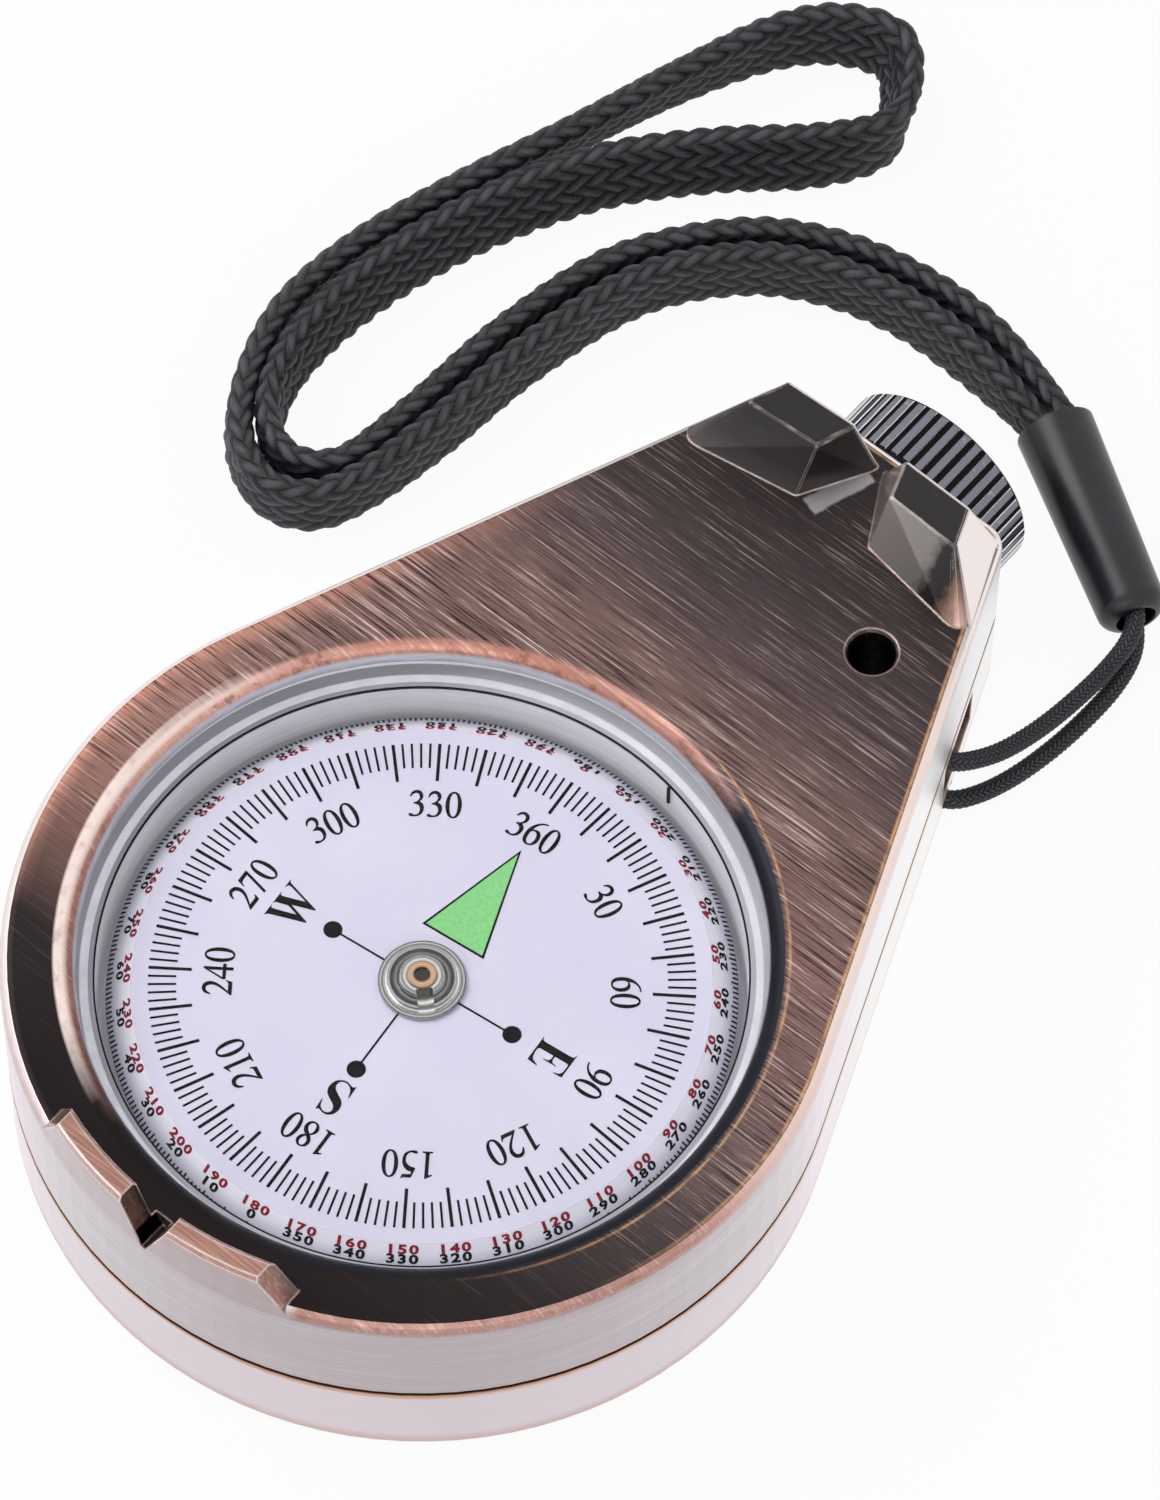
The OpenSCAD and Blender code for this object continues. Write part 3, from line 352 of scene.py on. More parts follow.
# Serif figures and letters on a 1000-unit body, 676 high; a third number marks a corner, the rest are smooth
glyphs = {
    "0": [[(250, 676), (368, 628), (440, 500), (466, 331), (440, 162), (368, 34), (250, -14), (132, 34),
           (60, 162), (34, 331), (60, 500), (132, 628)],
          [(250, 648), (172, 590), (138, 460), (130, 331), (138, 202), (172, 72), (250, 14), (328, 72),
           (362, 202), (370, 331), (362, 460), (328, 590)]],
    "1": [[(394, 0, 1), (394, 15, 1), (320, 30), (299, 80, 1), (299, 676, 1), (288, 676, 1),
           (111, 590, 1), (111, 573, 1), (170, 592), (205, 585), (213, 550, 1), (213, 80, 1), (192, 30),
           (118, 15, 1), (118, 0, 1)]],
    "2": [[(475, 137, 1), (425, 0, 1), (30, 0, 1), (30, 12, 1), (190, 190), (300, 340), (332, 455),
           (300, 560), (210, 604), (120, 570), (52, 480, 1), (33, 485, 1), (70, 595), (150, 660),
           (242, 676), (360, 632), (420, 510), (390, 380), (300, 250), (130, 78, 1), (370, 78, 1),
           (425, 95), (460, 144, 1)]],
    "3": [[(62, 510, 1), (44, 515, 1), (95, 622), (214, 676), (340, 640), (392, 546), (370, 452),
           (296, 384, 1), (398, 318), (432, 216), (396, 86), (292, 8), (150, -14), (62, 0), (42, 30),
           (72, 56), (120, 44), (206, 16), (304, 60), (344, 168), (316, 264), (240, 316), (154, 328, 1),
           (154, 343, 1), (252, 384), (306, 450), (314, 520), (276, 592), (200, 614), (122, 582)]],
    "4": [[(472, 167, 1), (472, 231, 1), (370, 231, 1), (370, 676, 1), (330, 676, 1), (12, 231, 1),
           (12, 167, 1), (292, 167, 1), (292, 0, 1), (370, 0, 1), (370, 167, 1)],
          [(292, 231, 1), (292, 574, 1), (52, 231, 1)]],
    "5": [[(438, 681, 1), (398, 592, 1), (182, 592, 1), (150, 520, 1), (290, 470), (386, 366),
           (416, 232), (376, 84), (270, 8), (132, -14), (50, 0), (32, 28), (58, 54), (104, 44),
           (196, 20), (296, 74), (338, 190), (312, 300), (216, 384), (74, 424, 1), (66, 434, 1),
           (174, 662, 1), (392, 662, 1), (422, 688, 1)]],
    "6": [[(446, 684, 1), (300, 648), (150, 540), (60, 400), (34, 254), (60, 100), (130, 14), (240, -14),
           (360, 18), (446, 110), (468, 220), (430, 346), (354, 408), (278, 420), (208, 404),
           (146, 364, 1), (186, 500), (276, 600), (360, 645), (448, 668, 1)],
          [(248, 378), (328, 336), (372, 240), (376, 150), (344, 50), (268, 14), (186, 48), (140, 140),
           (128, 240), (138, 332), (190, 370)]],
    "7": [[(449, 662, 1), (449, 646, 1), (237, -8, 1), (172, -8, 1), (370, 588, 1), (180, 588, 1),
           (110, 576), (68, 540), (37, 477, 1), (20, 485, 1), (79, 662, 1)]],
    "8": [[(248, 676), (356, 650), (420, 570), (416, 480), (370, 410), (290, 362, 1), (390, 290),
           (440, 200), (436, 110), (370, 20), (248, -14), (130, 20), (60, 110), (64, 200), (110, 264),
           (186, 326, 1), (110, 392), (68, 460), (64, 530), (110, 626)],
          [(266, 374, 1), (184, 436), (152, 500), (154, 580), (192, 634), (248, 650), (310, 626),
           (344, 552), (340, 480)],
          [(208, 312, 1), (150, 250), (136, 170), (160, 70), (210, 22), (262, 14), (330, 44), (362, 120),
           (344, 190), (292, 250)]],
    "W": [[(980, 676, 1), (980, 660, 1), (930, 645), (902, 590, 1), (686, -15, 1), (655, -15, 1),
           (510, 380, 1), (356, -15, 1), (325, -15, 1), (92, 600, 1), (62, 645), (20, 660, 1),
           (20, 676, 1), (300, 676, 1), (300, 660, 1), (245, 645), (250, 590, 1), (380, 214, 1),
           (458, 430, 1), (404, 590, 1), (384, 648), (340, 660, 1), (340, 676, 1), (646, 676, 1),
           (646, 660, 1), (590, 648), (582, 600, 1), (722, 222, 1), (846, 590, 1), (836, 640),
           (770, 660, 1), (770, 676, 1)]],
    "E": [[(641, 200, 1), (616, 0, 1), (16, 0, 1), (16, 18, 1), (80, 30), (98, 84, 1), (98, 592, 1),
           (80, 646), (16, 658, 1), (16, 676, 1), (596, 676, 1), (600, 504, 1), (578, 504, 1),
           (540, 600), (470, 636, 1), (300, 638, 1), (276, 614, 1), (276, 372, 1), (350, 372, 1),
           (410, 398), (432, 482, 1), (452, 482, 1), (452, 216, 1), (432, 216, 1), (410, 306),
           (350, 334, 1), (276, 334, 1), (276, 76, 1), (300, 42, 1), (400, 40, 1), (540, 76),
           (618, 200, 1)]],
    "S": [[(472, 692, 1), (486, 470, 1), (464, 470, 1), (412, 596), (310, 652), (208, 628), (176, 560),
           (222, 478), (350, 410), (474, 330), (520, 210), (474, 70), (350, -10), (250, -18), (170, 2),
           (104, 14), (68, -18, 1), (46, -18, 1), (36, 232, 1), (58, 232, 1), (104, 110), (190, 34),
           (284, 16), (374, 46), (404, 122), (370, 196), (260, 262), (120, 340), (60, 456), (84, 590),
           (180, 676), (276, 692), (350, 680), (412, 664), (450, 692, 1)]],
}
glyphs["9"] = [[(500 - p[0], 662 - p[1], *p[2:]) for p in loop] for loop in glyphs["6"]]
advances = {"W": 1000, "E": 660, "S": 560}


def outlinePoints(loop, steps=6):
    # Closed Hermite curve: slopes run across the neighbours, and straight to them at a corner
    p = np.array([q[:2] for q in loop], float)
    corner = np.array([len(q) > 2 for q in loop])[:, None]
    before, after = np.roll(p, 1, 0), np.roll(p, -1, 0)
    leaving = np.where(corner, after - p, (after - before) / 2)[:, None]
    coming = np.roll(np.where(corner, p - before, (after - before) / 2), -1, 0)[:, None]
    t = np.linspace(0, 1, steps, endpoint=False)[None, :, None]
    return ((2 * t ** 3 - 3 * t ** 2 + 1) * p[:, None] + (t ** 3 - 2 * t ** 2 + t) * leaving
            + (3 * t ** 2 - 2 * t ** 3) * after[:, None] + (t ** 3 - t ** 2) * coming).reshape(-1, 2)


def heavier(outline, weight):
    # The outline moved square to itself, outwards for a positive weight, whichever way round it runs
    run = np.roll(outline, -1, 0) - np.roll(outline, 1, 0)
    run /= np.maximum(np.linalg.norm(run, axis=1), 1e-9)[:, None]
    after = np.roll(outline, -1, 0)
    area = np.sum(outline[:, 0] * after[:, 1] - outline[:, 1] * after[:, 0])
    return outline + np.stack([run[:, 1], -run[:, 0]], 1) * weight * np.sign(area)


def meshArrays(curve, extrude):
    # Points and triangles of a flat curve or text with a little thickness
    curve.extrude = extrude
    holder = bpy.data.objects.new("holder", curve)
    mesh = holder.to_mesh()
    mesh.calc_loop_triangles()
    points = np.empty(len(mesh.vertices) * 3, np.float32)
    faces = np.empty(len(mesh.loop_triangles) * 3, np.int32)
    mesh.vertices.foreach_get("co", points)
    mesh.loop_triangles.foreach_get("vertices", faces)
    holder.to_mesh_clear()
    bpy.data.objects.remove(holder)
    return points.reshape(-1, 3).astype(float), faces.reshape(-1, 3)


def flatShape(loops):
    # Closed outlines filled flat; an outline inside another is a hole
    curve = bpy.data.curves.new("outline", "CURVE")
    curve.dimensions = "2D"
    curve.fill_mode = "BOTH"
    for loop in loops:
        spline = curve.splines.new("POLY")
        spline.points.add(len(loop) - 1)
        spline.points.foreach_set("co", np.c_[loop, np.zeros(len(loop)), np.ones(len(loop))].ravel())
        spline.use_cyclic_u = True
    return meshArrays(curve, 1.0)


def plainFigure(character):
    # A plain upright figure, scaled to stand one unit high and centred
    text = bpy.data.curves.new("figure", "FONT")
    text.body = character
    text.resolution_u = 3
    text.offset = 0.042
    points, faces = meshArrays(text, 1.0)
    low, high = points.min(0), points.max(0)
    points[:, 0] -= (low[0] + high[0]) / 2
    points[:, :2] /= high[1] - low[1]
    points[:, 1] -= low[1] / (high[1] - low[1])
    return points, faces


class Ink:
    # Gathers solids of one colour and makes one piece of them
    def __init__(self):
        self.points, self.faces, self.count = [], [], 0

    def take(self, shape, place, *where):
        # A shape's points go where its place on the dial puts them
        points, faces = shape
        self.points.append(place(points, *where))
        self.faces.append(faces + self.count)
        self.count += len(points)

    def piece(self, name, slot, material):
        piece = toMesh(name, np.vstack(self.points) * mm, [np.vstack(self.faces)], material=material,
                       smooth=False)
        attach(piece, "dial")
        return piece


def onFace(points, graduation, radius):
    # Flat letter coordinates (right, up, through) laid on the card: up runs outwards at the graduation
    angle = np.radians(dial["north"] - graduation)
    up, right = np.array([np.cos(angle), np.sin(angle)]), np.array([np.sin(angle), -np.cos(angle)])
    flat = points[:, :1] * right + (points[:, 1:2] + radius) * up
    return np.c_[flat, dial["face"] + dial["lift"] + points[:, 2] * dial["ink"]]


def onSkirt(points, graduation, slant):
    # Coordinates (right, up, through) wrapped on the cone: up runs inwards on the slope, right along the rim
    fall = np.array([dial["skirtRim"] - dial["rim"], dial["skirtLow"] - dial["face"]])
    fall /= np.hypot(*fall)
    down = slant - points[:, 1]
    over = dial["lift"] + points[:, 2] * dial["ink"]
    r = dial["rim"] + down * fall[0] - over * fall[1]
    z = dial["face"] + down * fall[1] + over * fall[0]
    angle = np.radians(dial["north"] - graduation) + points[:, 0] / r
    return np.c_[r * np.cos(angle), r * np.sin(angle), z]


def bar(width, start, end):
    # A thin straight stroke with its long side up, as a closed box of twelve triangles
    x, y, z = (k.ravel() for k in np.meshgrid([-width / 2, width / 2], [start, end], [-1, 1], indexing="ij"))
    faces = [[0, 1, 3], [0, 3, 2], [4, 6, 7], [4, 7, 5], [0, 4, 5], [0, 5, 1], [2, 3, 7], [2, 7, 6],
             [0, 2, 6], [0, 6, 4], [1, 5, 7], [1, 7, 3]]
    return np.stack([x, y, z], 1), np.array(faces)


def disc(radius, centre, n=40):
    # A round dot, its middle that far outwards
    angle = np.linspace(0, 2 * np.pi, n, endpoint=False)
    return flatShape([np.stack([radius * np.cos(angle), centre + radius * np.sin(angle)], 1)])


def printDial():
    # Ticks every two degrees, figures every thirty, letters, lines, dots and pointer, then the skirt's rows
    black, red, green = Ink(), Ink(), Ink()
    unit = dial["tickRim"]
    for degree in range(0, 360, 2):
        width, inner = facePrint["short"] if degree % 10 else facePrint["long"]
        black.take(bar(width, unit * inner, unit * facePrint["tickEnd"]), onFace, degree, 0)
    shapes = {}
    for key, loops in glyphs.items():
        weight = 9 if key.isdigit() else -3
        shapes[key] = flatShape([heavier(outlinePoints(loop), -weight if k else weight)
                                 for k, loop in enumerate(loops)])
    words = [(str(g or 360), g, facePrint["figures"]) for g in range(0, 360, 30)]
    words += [(letter, g, facePrint["letters"]) for letter, g in (("W", 270), ("E", 90), ("S", 180))]
    for word, graduation, (low, high, across) in words:
        widths = [advances.get(k, 500) for k in word]
        start = -sum(widths) / 2
        for key, width in zip(word, widths):
            points, faces = shapes[key]
            points = points * [across, (high - low) * unit / 676, 1] + [start * across, 0, 0]
            black.take((points, faces), onFace, graduation, low * unit)
            start += width
    for graduation, place in ((270, "side"), (90, "side"), (180, "south")):
        radius = facePrint[place] * unit
        black.take(bar(*facePrint["line"], radius), onFace, graduation, 0)
        black.take(disc(facePrint["dot"] * unit, radius), onFace, graduation, 0)
    outer, inner = (np.array([[0, tip], [-half, foot], [half, foot]]) * unit
                    for tip, foot, half in (facePrint["pointer"], facePrint["paint"]))
    for ink, loops in ((black, [outer, inner]), (green, [inner])):
        ink.take(flatShape(loops), onFace, 0, 0)
    figures = {key: plainFigure(key) for key in "0123456789"}
    for degree in range(0, 360, 10):
        for ink, value, row in ((red, degree, "red"), (black, (degree + 180) % 360, "black")):
            word = str(value)
            for place, key in enumerate(word):
                points, faces = figures[key]
                start = (place - (len(word) - 1) / 2) * skirtPrint["pitch"]
                points = points * [skirtPrint["wide"], skirtPrint["high"], 1] + [start, 0, 0]
                ink.take((points, faces), onSkirt, degree, skirtPrint[row])
    for degree in range(360):
        tick = bar(skirtPrint["tick"], 0, skirtPrint["short"] if degree % 5 else skirtPrint["long"])
        black.take(tick, onSkirt, degree, skirtPrint["ticks"])
    return black, red, green


def inkMaterial(name, colour, deep, roughness):
    # Screen-printed ink: even, slightly thinner in places
    material, tree = newMaterial(name)
    spots = add(tree, "TexNoise", {"Vector": add(tree, "TexCoord", out="Object"), "Scale": 4000.0,
                                   "Detail": 2.0})
    tone = add(tree, "ValToRGB", {0: spots}, stops=[(0.25, deep), (0.6, colour)])
    shader = add(tree, "BsdfPrincipled", {"Base Color": tone, "Roughness": roughness,
                                          "Specular IOR Level": 0.05})
    add(tree, "OutputMaterial", {0: shader})
    return material


blackInk, redInk, greenInk = printDial()
blackPrint = blackInk.piece("dialPrintBlack", "black_ink",
                            inkMaterial("printedBlackInk", "#0d0c0f", "#08070a", 0.6))
redPrint = redInk.piece("dialPrintRed", "dial_white",
                        inkMaterial("printedRedInk", "#8e1733", "#78122b", 0.5))
greenPrint = greenInk.piece("dialPrintGreen", "dial_white",
                            inkMaterial("luminousGreenPaint", "#88cf87", "#79c17a", 0.6))
print("dial printed:", [len(p.data.polygons) for p in (blackPrint, redPrint, greenPrint)])

# The case in mm: radius of its round end, x of its tail, angle of its straight sides in degrees, height, half
# width and fading of the parting groove, top face, window, lip, and the tabs' inside and half width
case = dict(round=28.4, tail=51.0, sideAngle=22.2, split=8.2, groove=0.16, fade=0.12, top=18.0, window=23.3,
            lip=1.5, tabInside=-24.0, tabHalf=10.6)


def shellMaterial(name, look):
    # Zinc casting, copper plated, blackened, then brushed: copper shows on the rounded rims and through the
    # fine lines, and the outer walls are rubbed to a pale satin. A painted reflection of the brushed metal
    # makes the top dark at both ends and lighter between, and a painted reflection makes the walls greyest
    # in front and paler to the right and towards the tail. Noise reads the place in metres, all else in mm
    material, tree = newMaterial(name)
    sideSin, sideCos = math.sin(math.radians(case["sideAngle"])), math.cos(math.radians(case["sideAngle"]))
    here = add(tree, "TexCoord", out="Object")
    x = add(tree, "SeparateXYZ", {0: add(tree, "VectorMath", {0: here, 3: 1000.0}, operation="SCALE")})
    y, z = x.node.outputs[1], x.node.outputs[2]
    facing = add(tree, "NewGeometry", out="Normal")
    nx = add(tree, "SeparateXYZ", {0: facing})
    nz = nx.node.outputs[2]
    flat = add(tree, "CombineXYZ", {0: x, 1: y})
    radius = add(tree, "VectorMath", {0: flat}, out=1, operation="LENGTH")
    absY = add(tree, "Math", {0: y}, operation="ABSOLUTE")
    # Distance to the outline, below zero inside it: round end, straight sides and tail
    roundD = add(tree, "Math", {0: radius, 1: case["round"]}, operation="SUBTRACT")
    sideD = add(tree, "Math", {0: absY, 1: sideCos, 2: -case["round"]}, operation="MULTIPLY_ADD")
    sideD = add(tree, "Math", {0: x, 1: sideSin, 2: sideD}, operation="MULTIPLY_ADD")
    straight = add(tree, "Math", {0: within(tree, x, sideCos), 1: within(tree, absY, sideSin)},
                   operation="GREATER_THAN")
    tailD = add(tree, "Math", {0: x, 1: case["tail"]}, operation="SUBTRACT")
    rim = add(tree, "Math", {0: add(tree, "Mix", {0: straight, 2: roundD, 3: sideD}), 1: tailD},
              operation="MAXIMUM")
    # Outer walls: the face looks away from the axis and lies near the outline
    outwards = add(tree, "VectorMath", {0: flat}, operation="NORMALIZE")
    away = add(tree, "VectorMath", {0: facing, 1: outwards}, out=1, operation="DOT_PRODUCT")
    wall = within(tree, (away, 0.25, 0.45), (rim, -4.2, -3.4), curve="SMOOTHSTEP")
    # Worn edges, from the difference between the face and its rounded-off neighbourhood
    softened = add(tree, "Bevel", {0: look["edge"] * mm}, samples=4)
    same = add(tree, "VectorMath", {0: softened, 1: facing}, out=1, operation="DOT_PRODUCT")
    patchy = add(tree, "TexNoise", {"Vector": here, "Scale": 900.0, "Detail": 3.0, "Roughness": 0.65})
    edgeLevel = add(tree, "Math", {0: patchy, 1: 0.09, 2: same}, operation="MULTIPLY_ADD")
    edge = add(tree, "MapRange", {0: edgeLevel, 1: 1.01, 2: 0.93}, interpolation_type="SMOOTHSTEP")
    # Brush lines about 0.1 mm wide run across the case, along Y; those on the walls run level
    lines, coarse, level = (
        add(tree, "TexNoise", {"Vector": add(tree, "Mapping", {0: here, 3: stretch}), "Scale": 1.0,
                               "Detail": detail, "Roughness": rough, "Distortion": waver})
        for stretch, detail, rough, waver in (((5200, 120, 1500), 4.0, 0.7, 0.15),
                                              ((1500, 60, 300), 2.0, 0.6, 0.0),
                                              ((90, 90, 6500), 3.0, 0.65, 0.0)))
    clouds = add(tree, "TexNoise", {"Vector": here, "Scale": 45.0, "Detail": 2.0})
    # Top face, from the front to the tail: a painted reflection of the brushed metal, dark at both ends and
    # lighter between, and how strongly the lines show, strongest where it is lighter
    along = add(tree, "Math", {0: add(tree, "MapRange", {0: x, 1: -30.0, 2: 52.0}), 1: 0.05},
                operation="SUBTRACT")
    along = add(tree, "Math", {0: clouds, 1: 0.10, 2: along}, operation="MULTIPLY_ADD")
    face, share = (add(tree, "ValToRGB", {0: along}, stops=look[key]) for key in ("face", "lines"))
    bright = add(tree, "MapRange", {0: lines, 1: 0.55, 2: 0.65}, interpolation_type="SMOOTHSTEP")
    bright = within(tree, bright, (coarse, 0.38, 0.58, 0.45), share)
    deep = add(tree, "MapRange", {0: lines, 1: 0.49, 2: 0.38, 4: 0.9}, interpolation_type="SMOOTHSTEP")
    # The left shoulder is worn warm along its rim, and a painted highlight of the brushed metal warms it
    # more broadly
    rimWear = add(tree, "MapRange", {0: rim, 1: -2.4, 2: -0.8, 4: 0.95})
    broadHighlight = add(tree, "MapRange", {0: x, 1: 14.0, 2: 6.0, 4: 0.38})
    shoulder = within(tree, add(tree, "Math", {0: rimWear, 1: broadHighlight}, operation="MAXIMUM"),
                      (x, -15.0, -4.5), (x, 36.0, 12.0), (y, 10.0, 16.0))
    face = layered(tree, face, [(shoulder, "#c08a7a"), (bright, look["bright"]),
                                (within(tree, deep, share), look["deep"])])
    # A painted reflection: a pale patch between the ears, reaching equally far to both sides of two middle
    # lines
    paintedReflection = []
    for direction, middle, reach in look["paintedReflection"]:
        off = add(tree, "VectorMath", {0: flat, 1: direction}, out=1, operation="DOT_PRODUCT")
        off = add(tree, "Math", {0: add(tree, "Math", {0: off, 1: middle}, operation="SUBTRACT")},
                  operation="ABSOLUTE")
        off = add(tree, "Math", {0: patchy, 1: 0.4, 2: off}, operation="MULTIPLY_ADD")
        paintedReflection.append((off, reach + 0.3, reach + 0.1))
    if paintedReflection:
        face = layered(tree, face, [(within(tree, *paintedReflection), "#9c979a")])
    # Ears: near black and glossy. A painted reflection greys their front faces, low down on the left ear and
    # on the inner part of the right ear, and the right ear is worn to speckled copper round the outer corner
    standing = case["top"] + 0.02
    raised = add(tree, "MapRange", {0: z, 1: standing, 2: standing + 0.1})
    across = add(tree, "Math", {0: add(tree, "MapRange", {0: y, 1: -3.0, 2: -13.0}), 1: 0.09},
                 operation="SUBTRACT")
    across = add(tree, "Math", {0: patchy, 1: 0.18, 2: across}, operation="MULTIPLY_ADD")
    rightEarReflectionAndWear = add(tree, "ValToRGB", {0: across}, stops=[
        (0.0, "#a29b98"), (0.46, "#8d8684"), (0.56, "#2f2b2c"), (0.68, "#262223"), (0.76, "#8a6657"),
        (0.9, "#c9a394")])
    rise = add(tree, "MapRange", {0: z, 1: case["top"], 2: case["top"] + 3.5})
    leftEarReflection = add(tree, "ValToRGB", {0: rise}, stops=[(0.0, "#5c5657"), (0.5, "#3f3a3b"), (1.0, "#332f30")])
    leftSide = add(tree, "Math", {0: y, 1: 0.0}, operation="GREATER_THAN")
    earFrontReflectionAndWear = layered(tree, rightEarReflectionAndWear, [(leftSide, leftEarReflection)])
    frontward = add(tree, "MapRange", {0: nx, 1: -0.05, 2: -0.2}, interpolation_type="SMOOTHSTEP")
    ear = layered(tree, "#2c292a", [(frontward, earFrontReflectionAndWear)])
    # Tabs: brushed copper on top, dark inside
    upward = add(tree, "MapRange", {0: nz, 1: 0.35, 2: 0.6}, interpolation_type="SMOOTHSTEP")
    tabTop = add(tree, "ValToRGB", {0: lines}, stops=[(0.3, "#8c5f51"), (0.5, "#b28172"), (0.7, "#dab0a2")])
    tab = layered(tree, "#3a3133", [(upward, tabTop)])
    front = add(tree, "Math", {0: x, 1: 0.0}, operation="LESS_THAN")
    face = layered(tree, face, [(raised, layered(tree, ear, [(front, tab)]))])
    rubbedEdge = within(tree, (edgeLevel, 1.03, 0.99), raised, curve="SMOOTHSTEP")
    edge = add(tree, "Math", {0: edge, 1: rubbedEdge}, operation="MAXIMUM")
    # The tabs' outer faces run on from the wall with no worn line between
    lowDown = add(tree, "Math", {0: z, 1: case["top"] + 0.4}, operation="LESS_THAN")
    foot = within(tree, (x, case["tabInside"] + 0.5, case["tabInside"] - 0.5), lowDown, wall)
    edge = add(tree, "Math", {0: edge, 1: foot}, operation="SUBTRACT", use_clamp=True)
    # Walls: a painted reflection makes them greyest where they face the front and paler where they face right
    # and towards the tail; tinted by height
    sideways = add(tree, "VectorMath", {0: facing, 1: (-0.777, -0.629, 0)}, out=1, operation="DOT_PRODUCT")
    paintedTailReflection = add(tree, "MapRange", {0: x, 1: 6.0, 2: 44.0, 4: 0.6})
    sideTone = add(tree, "Math", {0: sideways, 1: paintedTailReflection}, operation="SUBTRACT")
    grain = add(tree, "Math", {0: level, 1: 0.5}, operation="SUBTRACT")
    sideTone = add(tree, "Math", {0: grain, 1: 0.7, 2: sideTone}, operation="MULTIPLY_ADD")
    height = add(tree, "MapRange", {0: z, 1: 0.0, 2: 22.0})
    height = add(tree, "Math", {0: grain, 1: 0.05, 2: height}, operation="MULTIPLY_ADD")
    satin = add(tree, "Mix", {0: 1.0, 6: add(tree, "ValToRGB", {0: sideTone}, stops=look["wall"]),
                              7: add(tree, "ValToRGB", {0: height}, stops=look["height"])},
                out=2, data_type="RGBA", blend_type="MULTIPLY")
    # The rounded rim and the window's lip are rubbed through to the copper. The rim's copper is broad and
    # pale on the right, narrow in front, a mere line on the left, none at the ears
    rounded = within(tree, (nz, 0.985, 0.88), (nz, 0.02, 0.30), curve="SMOOTHSTEP")
    sideLevel = add(tree, "MapRange", {0: y, 1: 12.0, 2: -4.0})
    outline = within(tree, (rim, -1.6, -1.0), (x, 45.0, 37.0), (sideLevel, 0.0, 1.0, look["left"], 0.9))
    # The lip is dark at the front and on the right, where a painted dark reflection and a golden line take
    # its place
    lipEdge = case["window"] + case["lip"]
    reach = add(tree, "Math", {0: add(tree, "Math", {0: y, 1: 0.0}, operation="MAXIMUM"), 1: 0.9, 2: x},
                operation="MULTIPLY_ADD")
    rightLip = add(tree, "MapRange", {0: y, 1: -1.0, 2: -10.0})
    lip = within(tree, (radius, lipEdge + 0.2, lipEdge - 0.4), (reach, -17.0, -4.0))
    lip = add(tree, "Math", {0: lip, 1: rightLip}, operation="SUBTRACT", use_clamp=True)
    shade = within(tree, rightLip, (radius, lipEdge - 0.1, lipEdge - 0.4))
    shade = add(tree, "Math", {0: shade, 1: wall}, operation="SUBTRACT", use_clamp=True)
    rubbedPart = add(tree, "Math", {0: outline, 1: lip}, operation="MAXIMUM")
    bend = within(tree, rounded, rubbedPart, look["bend"])
    # The wall under the tabs has no copper line
    ahead = add(tree, "Math", {0: x, 1: case["tabInside"]}, operation="LESS_THAN")
    below = add(tree, "Math", {0: z, 1: standing}, operation="LESS_THAN")
    under = within(tree, (absY, case["tabHalf"] + 0.6, case["tabHalf"]), ahead, below)
    bend = add(tree, "Math", {0: bend, 1: under}, operation="SUBTRACT", use_clamp=True)
    # Golden lines round the lip and along the right rim
    lipLine = add(tree, "Math", {0: add(tree, "Math", {0: radius, 1: lipEdge}, operation="SUBTRACT")},
                  operation="ABSOLUTE")
    lipLine = within(tree, (lipLine, 0.14, 0.02, 0.0, 0.75), (x, -18.0, -6.0), rightLip)
    rimLine = add(tree, "Math", {0: add(tree, "Math", {0: rim, 1: 0.72}, operation="ADD")},
                  operation="ABSOLUTE")
    rimLine = within(tree, (rimLine, 0.18, 0.02), sideLevel, (x, -12.0, 4.0))
    golden = within(tree, add(tree, "Math", {0: lipLine, 1: rimLine}, operation="MAXIMUM"),
                    add(tree, "Math", {0: nz, 1: 0.6}, operation="GREATER_THAN"), (patchy, 0.38, 0.58, 0.3),
                    look["gold"])
    # The copper is paler towards the tail on the right side, and a painted highlight makes it paler on the
    # left of the lip; browner in front
    leftLipPaleHighlight = within(tree, (y, 12.0, 22.0), (nz, 0.72, 0.84), (x, 12.0, 0.0))
    paleRimAndHighlight = within(tree, sideLevel, (x, -4.0, 14.0), (radius, 25.5, 26.2))
    paleRimAndHighlight = add(tree, "Math", {0: paleRimAndHighlight, 1: leftLipPaleHighlight}, operation="MAXIMUM")
    brownRim = add(tree, "MapRange", {0: x, 1: 2.0, 2: -12.0, 4: 0.6})
    scored = add(tree, "MapRange", {0: lines, 1: 0.5, 2: 0.7, 4: 0.5})
    speckle = add(tree, "MapRange", {0: patchy, 1: 0.54, 2: 0.68, 4: 0.6})
    speckle = add(tree, "Math", {0: speckle, 1: paleRimAndHighlight}, operation="SUBTRACT", use_clamp=True)
    rubbedCopper = layered(tree, add(tree, "ValToRGB", {0: clouds}, stops=look["copper"]),
                           [(paleRimAndHighlight, "#f0dcd6"), (brownRim, "#94695c"), (scored, "#f0d2c8"),
                            (speckle, "#80584b")])
    # A painted highlight lays a near-white band on the lip's left side, and its bore is bare and pale
    leftLipWhiteHighlight = within(tree, (y, 9.0, 15.0), (x, 10.0, -4.0), (radius, lipEdge - 1.0, lipEdge - 0.6),
                      (radius, lipEdge + 0.05, lipEdge - 0.15), (patchy, 0.68, 0.5, 0.7, 0.95))
    bore = within(tree, (away, -0.85, -0.95),
                  add(tree, "Math", {0: radius, 1: case["window"] + 0.3}, operation="LESS_THAN"))
    bare = layered(tree, add(tree, "ValToRGB", {0: patchy}, stops=look["bare"]),
                   [(within(tree, raised, 0.7), "#fdf3ef")])
